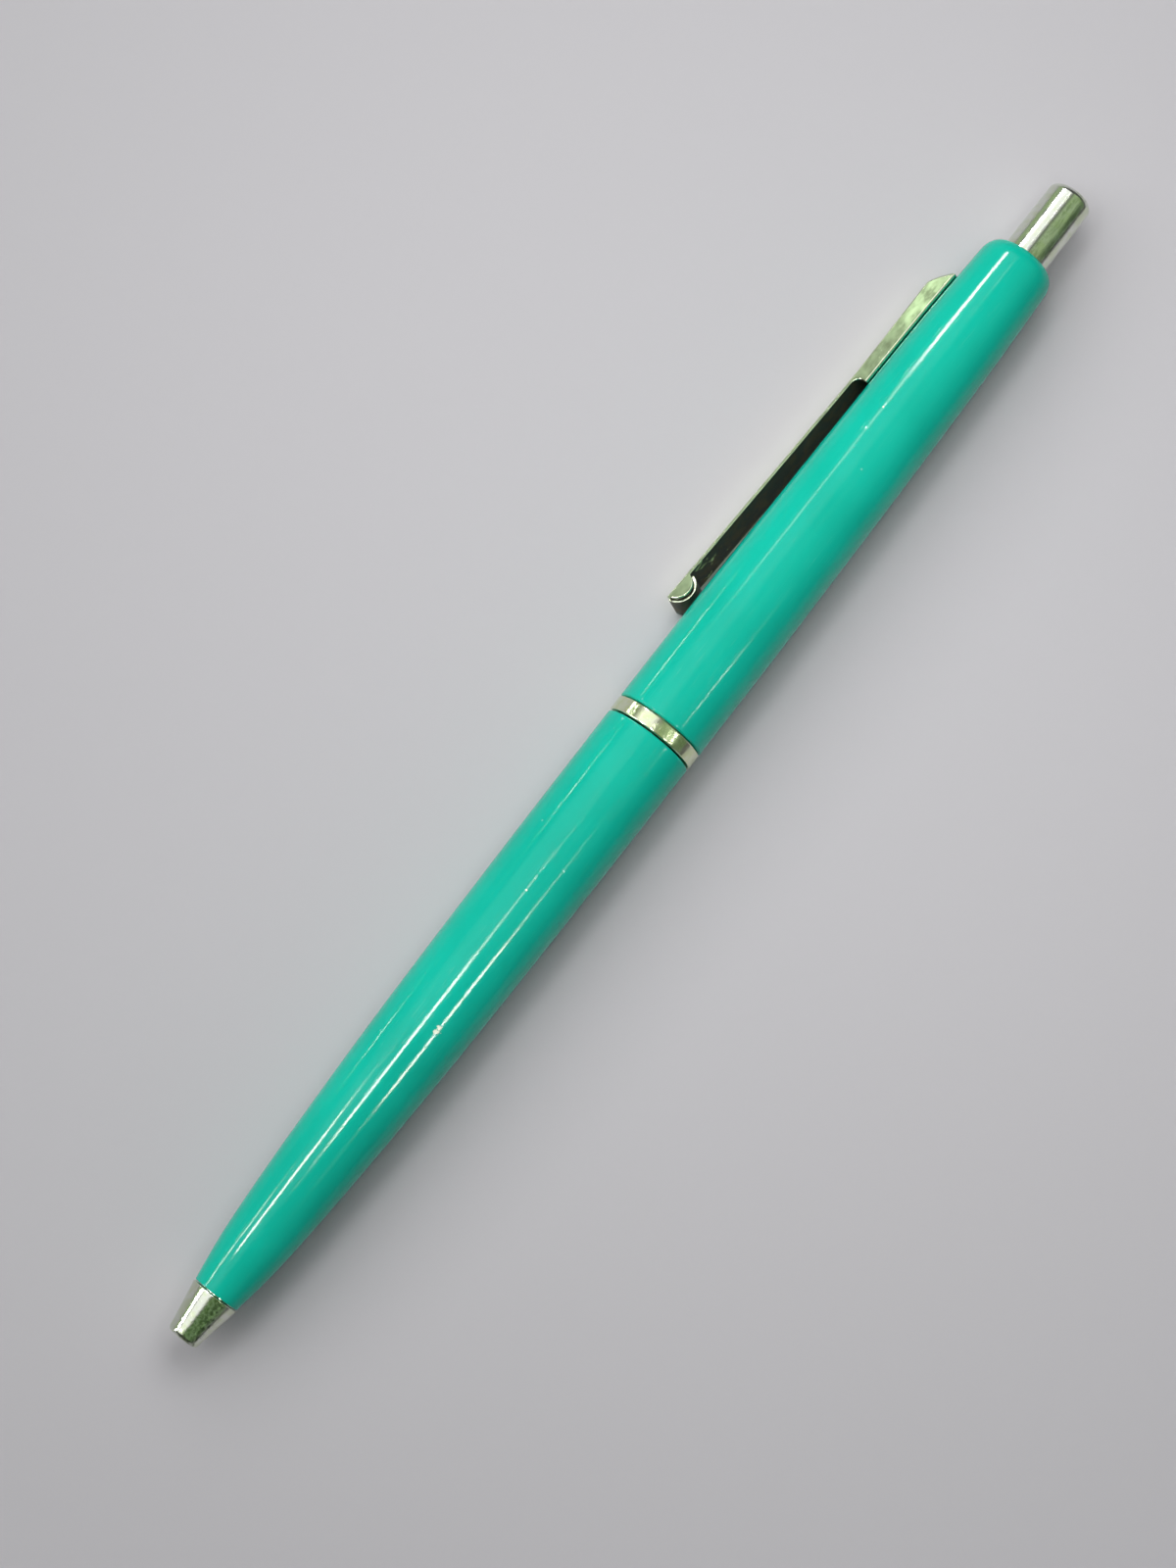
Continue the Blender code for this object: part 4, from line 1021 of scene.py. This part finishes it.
def add_barrels():
    """Both plastic barrels, the upper one with the slot for the clip's tang."""
    upper = turned_again("upper_barrel", "upper_shell", BARREL_STEPS, EDGE_FILLET)
    low = CLIP_TIP_X + TANG_FROM_AT - SLOT_CLEARANCE
    high = CLIP_TIP_X + TANG_TO_AT + SLOT_CLEARANCE
    outline = [(low, SLOT_LOW_R), (high, SLOT_LOW_R), (high, SLOT_HIGH_R), (low, SLOT_HIGH_R)]
    cut_or_join(upper, slab("tang_slot", outline, TANG_HALF + SLOT_CLEARANCE), "DIFFERENCE")
    look = barrel_look("teal_upper", 2.0, UPPER_DENTS, UPPER_NICKS_AND_HIGHLIGHTS)
    dress(upper, "upper_barrel", look, "upper_barrel")

    lower = turned_again("lower_barrel", "lower_shell", BARREL_STEPS, EDGE_FILLET)
    look = barrel_look("teal_lower", 9.0, LOWER_DENTS, LOWER_NICKS_AND_HIGHLIGHTS)
    dress(lower, "lower_barrel", look, "lower_barrel")


def add_plated_trim():
    """The nose, the centre ring and the push button."""
    nose = turned_again("nose_cone", "nose_tip", FINE_STEPS, NOSE_FILLET, NOSE_ROW_STEP)
    # Each plate gets a strip of painted green reflection and painted shade between the two distances across
    # it listed last
    skin = {"grain": 1.1, "grain_size": 0.36, "streaks": 1.2}
    look = plate_look("nose_plate", (0.67, 0.70, 0.62), 4.0, **skin, tarnish_and_reflection=(0.85, -0.15, 1.25, 1.0))
    dress(nose, "nose_cone", look, "lower_barrel")

    ring = turned_again("center_ring", "ring_band", BARREL_STEPS, EDGE_FILLET)
    skin = {"grain": 1.1, "grain_size": 0.42, "streaks": 0.5, "smooth": 0.10, "pits": 0.6}
    look = plate_look("ring_plate", (0.71, 0.75, 0.56), 1.0, **skin, tarnish_and_reflection=(0.30, 0.1, 2.4, 1.0))
    dress(ring, "center_ring", look, "upper_barrel")

    button = turned_again("push_button", "button_cap", FINE_STEPS, EDGE_FILLET, BUTTON_ROW_STEP)
    skin = {"grain": 0.6, "grain_size": 0.5, "streaks": 1.5}
    look = plate_look("button_plate", (0.71, 0.74, 0.67), 6.0, **skin, tarnish_and_reflection=(0.5, 0.2, 1.55, 5.0))
    dress(button, "push_button", look, "push_button")


def add_clip():
    """The pocket clip, built in place of the CAD clip, which is hidden."""
    skin = {"grain": 0.8, "grain_size": 0.5, "streaks": 0.8, "smooth": 0.14}
    plate = plate_look("clip_plate", (0.66, 0.71, 0.58), 8.0, **skin)
    clip = build_clip(plate, stained_and_shaded_steel("clip_inside"), satin_look("clip_walls", 5.0))
    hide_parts("pocket_clip")
    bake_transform(clip)


def add_neck_and_spring():
    """The threaded neck bush and the return spring."""
    look = neck_brass("neck_brass", RING_LOW.x + SEAM_SHADE_DEPTH)
    dress(build_thread(), "neck_bush", look, "lower_barrel")
    look = plain_metal("spring_wire", (0.50, 0.50, 0.52), 0.25)
    coil = dress(build_spring(), "return_spring", look, "spring")
    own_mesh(coil)


def add_cartridge():
    """The metal cartridge: tube, neck, point and ball."""
    steel = plain_metal("drawn_steel", (0.60, 0.61, 0.62), 0.26)
    brass = plain_metal("point_brass", (0.78, 0.62, 0.33), 0.2, TURNED_GRAIN)
    carbide = plain_metal("ground_carbide", (0.35, 0.35, 0.37), 0.15)
    pieces = (
        ("refill_tube", "cartridge_tube", steel, "cartridge_steel", ROW_STEP),
        ("refill_neck", "cartridge_neck", steel, "cartridge_steel", ROW_STEP),
        ("point_socket", "point_cone", brass, "point_brass", ROW_STEP),
        ("writing_ball", "point_ball", carbide, "ball_carbide", BALL_ROW_STEP),
    )
    for node, name, look, slot, step in pieces:
        dress(turned_again(node, name, CARTRIDGE_STEPS, CARTRIDGE_FILLET, step), node, look, "refill")


def dress_kept_nodes():
    """Materials for the inner CAD nodes that stay as they are."""
    white = moulded("natural_acetal", (0.80, 0.80, 0.77), 0.42)
    kept = {
        "button_core": white,
        "cam_rotor": white,
        "refill_plug": white,
        "cam_sleeve": moulded("grey_acetal", (0.20, 0.20, 0.21), 0.45),
        "clip_bush": plain_metal("turned_steel", (0.55, 0.55, 0.56), 0.32, TURNED_GRAIN),
        "thread_insert": plain_metal("turned_brass", BRASS_TINT, 0.34, TURNED_GRAIN),
        "ink_column": moulded("ink", (0.005, 0.008, 0.08), 0.25),
    }
    for node, look in kept.items():
        materials = frame["nodes"][node].data.materials
        materials.clear()
        materials.append(look)


# ---- floor, camera and light


def build_floor():
    """A wide pale floor that sweeps up into a low backdrop all round."""
    rows = [(FLOOR_FLAT_R / 2, 0.0), (FLOOR_FLAT_R, 0.0)]
    for angle in spread(0.0, FLOOR_SWEEP_ANGLE, FLOOR_SWEEP_ROWS)[1:]:
        rows.append((FLOOR_FLAT_R + FLOOR_SWEEP_R * math.sin(angle), FLOOR_SWEEP_R * (1.0 - math.cos(angle))))
    points = [(0.0, 0.0, 0.0)]
    faces = []
    for distance, height in rows:
        for k in range(FLOOR_STEPS):
            angle = 2 * math.pi * k / FLOOR_STEPS
            points.append((distance * math.cos(angle) / MM, distance * math.sin(angle) / MM, height / MM))
    for k in range(FLOOR_STEPS):
        after = (k + 1) % FLOOR_STEPS
        faces.append((0, 1 + k, 1 + after))
        for i in range(len(rows) - 1):
            here = 1 + i * FLOOR_STEPS
            there = here + FLOOR_STEPS
            faces.append((here + k, there + k, there + after, here + after))
    made = add_mesh("floor", points, faces)
    made.data.materials.append(floor_look())


def build_camera():
    """The camera that sees the pen as the photo shows it."""
    data = bpy.data.cameras.new("camera")
    data.lens = CAMERA_LENS
    data.sensor_width = 36.0
    data.clip_start = 0.01
    camera = bpy.data.objects.new("camera", data)
    turn = Matrix.Rotation(CAMERA_LEAN, 4, "Y") @ Matrix.Rotation(CAMERA_TURN, 4, "Z")
    camera.matrix_world = Matrix.Translation(Vector(CAMERA_PLACE) * MM) @ turn
    bpy.context.scene.collection.objects.link(camera)
    bpy.context.scene.camera = camera


def area_light(name, place, target, along, size, radiance, colour, seen):
    """A rectangular light at place (metres) that faces target, its length along a direction.

    size is its length and width. seen: "shade" if it lights surfaces, "mirror" if it is mirrored in them.
    """
    data = bpy.data.lights.new(name, "AREA")
    data.shape = "RECTANGLE"
    data.size, data.size_y = size
    data.energy = radiance * math.pi * size[0] * size[1]
    data.color = colour
    back = (place - target).normalized()
    side = (along - back * along.dot(back)).normalized()
    up = back.cross(side)
    light = bpy.data.objects.new(name, data)
    light.matrix_world = Matrix.Translation(place) @ Matrix((side, up, back)).transposed().to_4x4()
    light.visible_camera = False
    light.visible_diffuse = seen == "shade"
    light.visible_glossy = seen == "mirror"
    bpy.context.scene.collection.objects.link(light)


def panel(name, seen, angle, distance, size, radiance, middle=0.10, colour=WHITE_LIGHT):
    """A light along the pen at an angle (degrees) from straight above, negative towards the clip's side.

    distance, size (length and width) and middle, its place along the pen, are in metres.
    """
    turn = math.radians(angle)
    place = Vector((middle, -distance * math.sin(turn), distance * math.cos(turn)))
    target = Vector((middle, 0.0, 0.0))
    area_light(name, place, target, Vector((1.0, 0.0, 0.0)), size, radiance, colour, seen)


def soft_panel(name, seen, angle, distance, size, radiance, middle=0.10, colour=WHITE_LIGHT):
    """A panel whose light fades out towards its long edges."""
    length, width = size
    for i in range(SOFT_STEPS):
        narrowed = width * (1.0 - SOFT_EDGE * i / (SOFT_STEPS - 1))
        layer = distance + SOFT_LAYER * i
        panel(f"{name}_{i}", seen, angle, layer, (length, narrowed), radiance / SOFT_STEPS, middle, colour)


def mirrored(x, across):
    """The surface point at x and across, and the point a strip's distance away that is mirrored in it."""
    point = Vector(surface_point(x, across)) * MM
    slope = (barrel_radius(x + 1.0) - barrel_radius(x - 1.0)) / 2.0
    radial = Vector((0.0, point.y - AXIS_Y * MM, point.z - AXIS_Z * MM)).normalized()
    normal = Vector((-slope, radial.y, radial.z)).normalized()
    ray = (point - Vector(CAMERA_PLACE) * MM).normalized()
    return point, point + (ray - normal * 2 * ray.dot(normal)) * GLINT_DISTANCE


def glint(name, first, last, width, radiance):
    """A strip light seen mirrored as a line from first to last, both (distance from the datum, across)."""
    first_point, start = mirrored(NOSE_X + first[0], first[1])
    last_point, stop = mirrored(NOSE_X + last[0], last[1])
    target = (first_point + last_point) / 2
    along = stop - start
    size = (along.length, width)
    area_light(name, (start + stop) / 2, target, along, size, radiance, WHITE_LIGHT, "mirror")


def build_lights():
    """A large soft light over the clip's side, weaker ones round it, and strips for the lines of gloss."""
    world = bpy.data.worlds.new("studio")
    world.use_nodes = True
    world.node_tree.nodes["Background"].inputs["Color"].default_value = (0.93, 0.98, 0.95, 1.0)
    world.node_tree.nodes["Background"].inputs["Strength"].default_value = 0.10
    bpy.context.scene.world = world
    panel("key", "shade", -40.0, 1.25, (2.4, 1.1), 2.05)
    panel("near_key", "shade", -6.0, 0.15, (0.12, 0.10), 3.35, 0.040)
    panel("top_shade", "shade", 12.0, 1.3, (2.2, 1.2), 0.06)
    panel("low_shade", "shade", 70.0, 1.3, (2.2, 0.7), 0.15)
    soft_panel("key_mirror", "mirror", -35.0, 1.25, (2.4, 1.35), 1.15)
    soft_panel("green_mirror", "mirror", 25.0, 1.25, (1.8, 1.6), 0.40, 0.95, PALE_GREEN)
    panel("dark_mirror", "mirror", 25.0, 1.25, (1.1, 1.5), 0.18, -0.55, DEEP_GREEN)
    panel("deep_mirror", "mirror", 64.0, 1.3, (2.4, 0.7), 0.11, 0.10, DEEP_GREEN)
    panel("side_mirror", "mirror", -76.0, 1.3, (2.4, 0.5), 0.34, 0.10, PALE_GREEN)
    for name, (first, last, width, radiance) in GLINTS.items():
        glint(f"glint_{name}", first, last, width, radiance)


add_barrels()
add_plated_trim()
add_clip()
add_neck_and_spring()
add_cartridge()
dress_kept_nodes()
build_floor()
build_camera()
build_lights()
bpy.context.scene.view_settings.view_transform = "Standard"
bpy.context.scene.view_settings.look = "None"
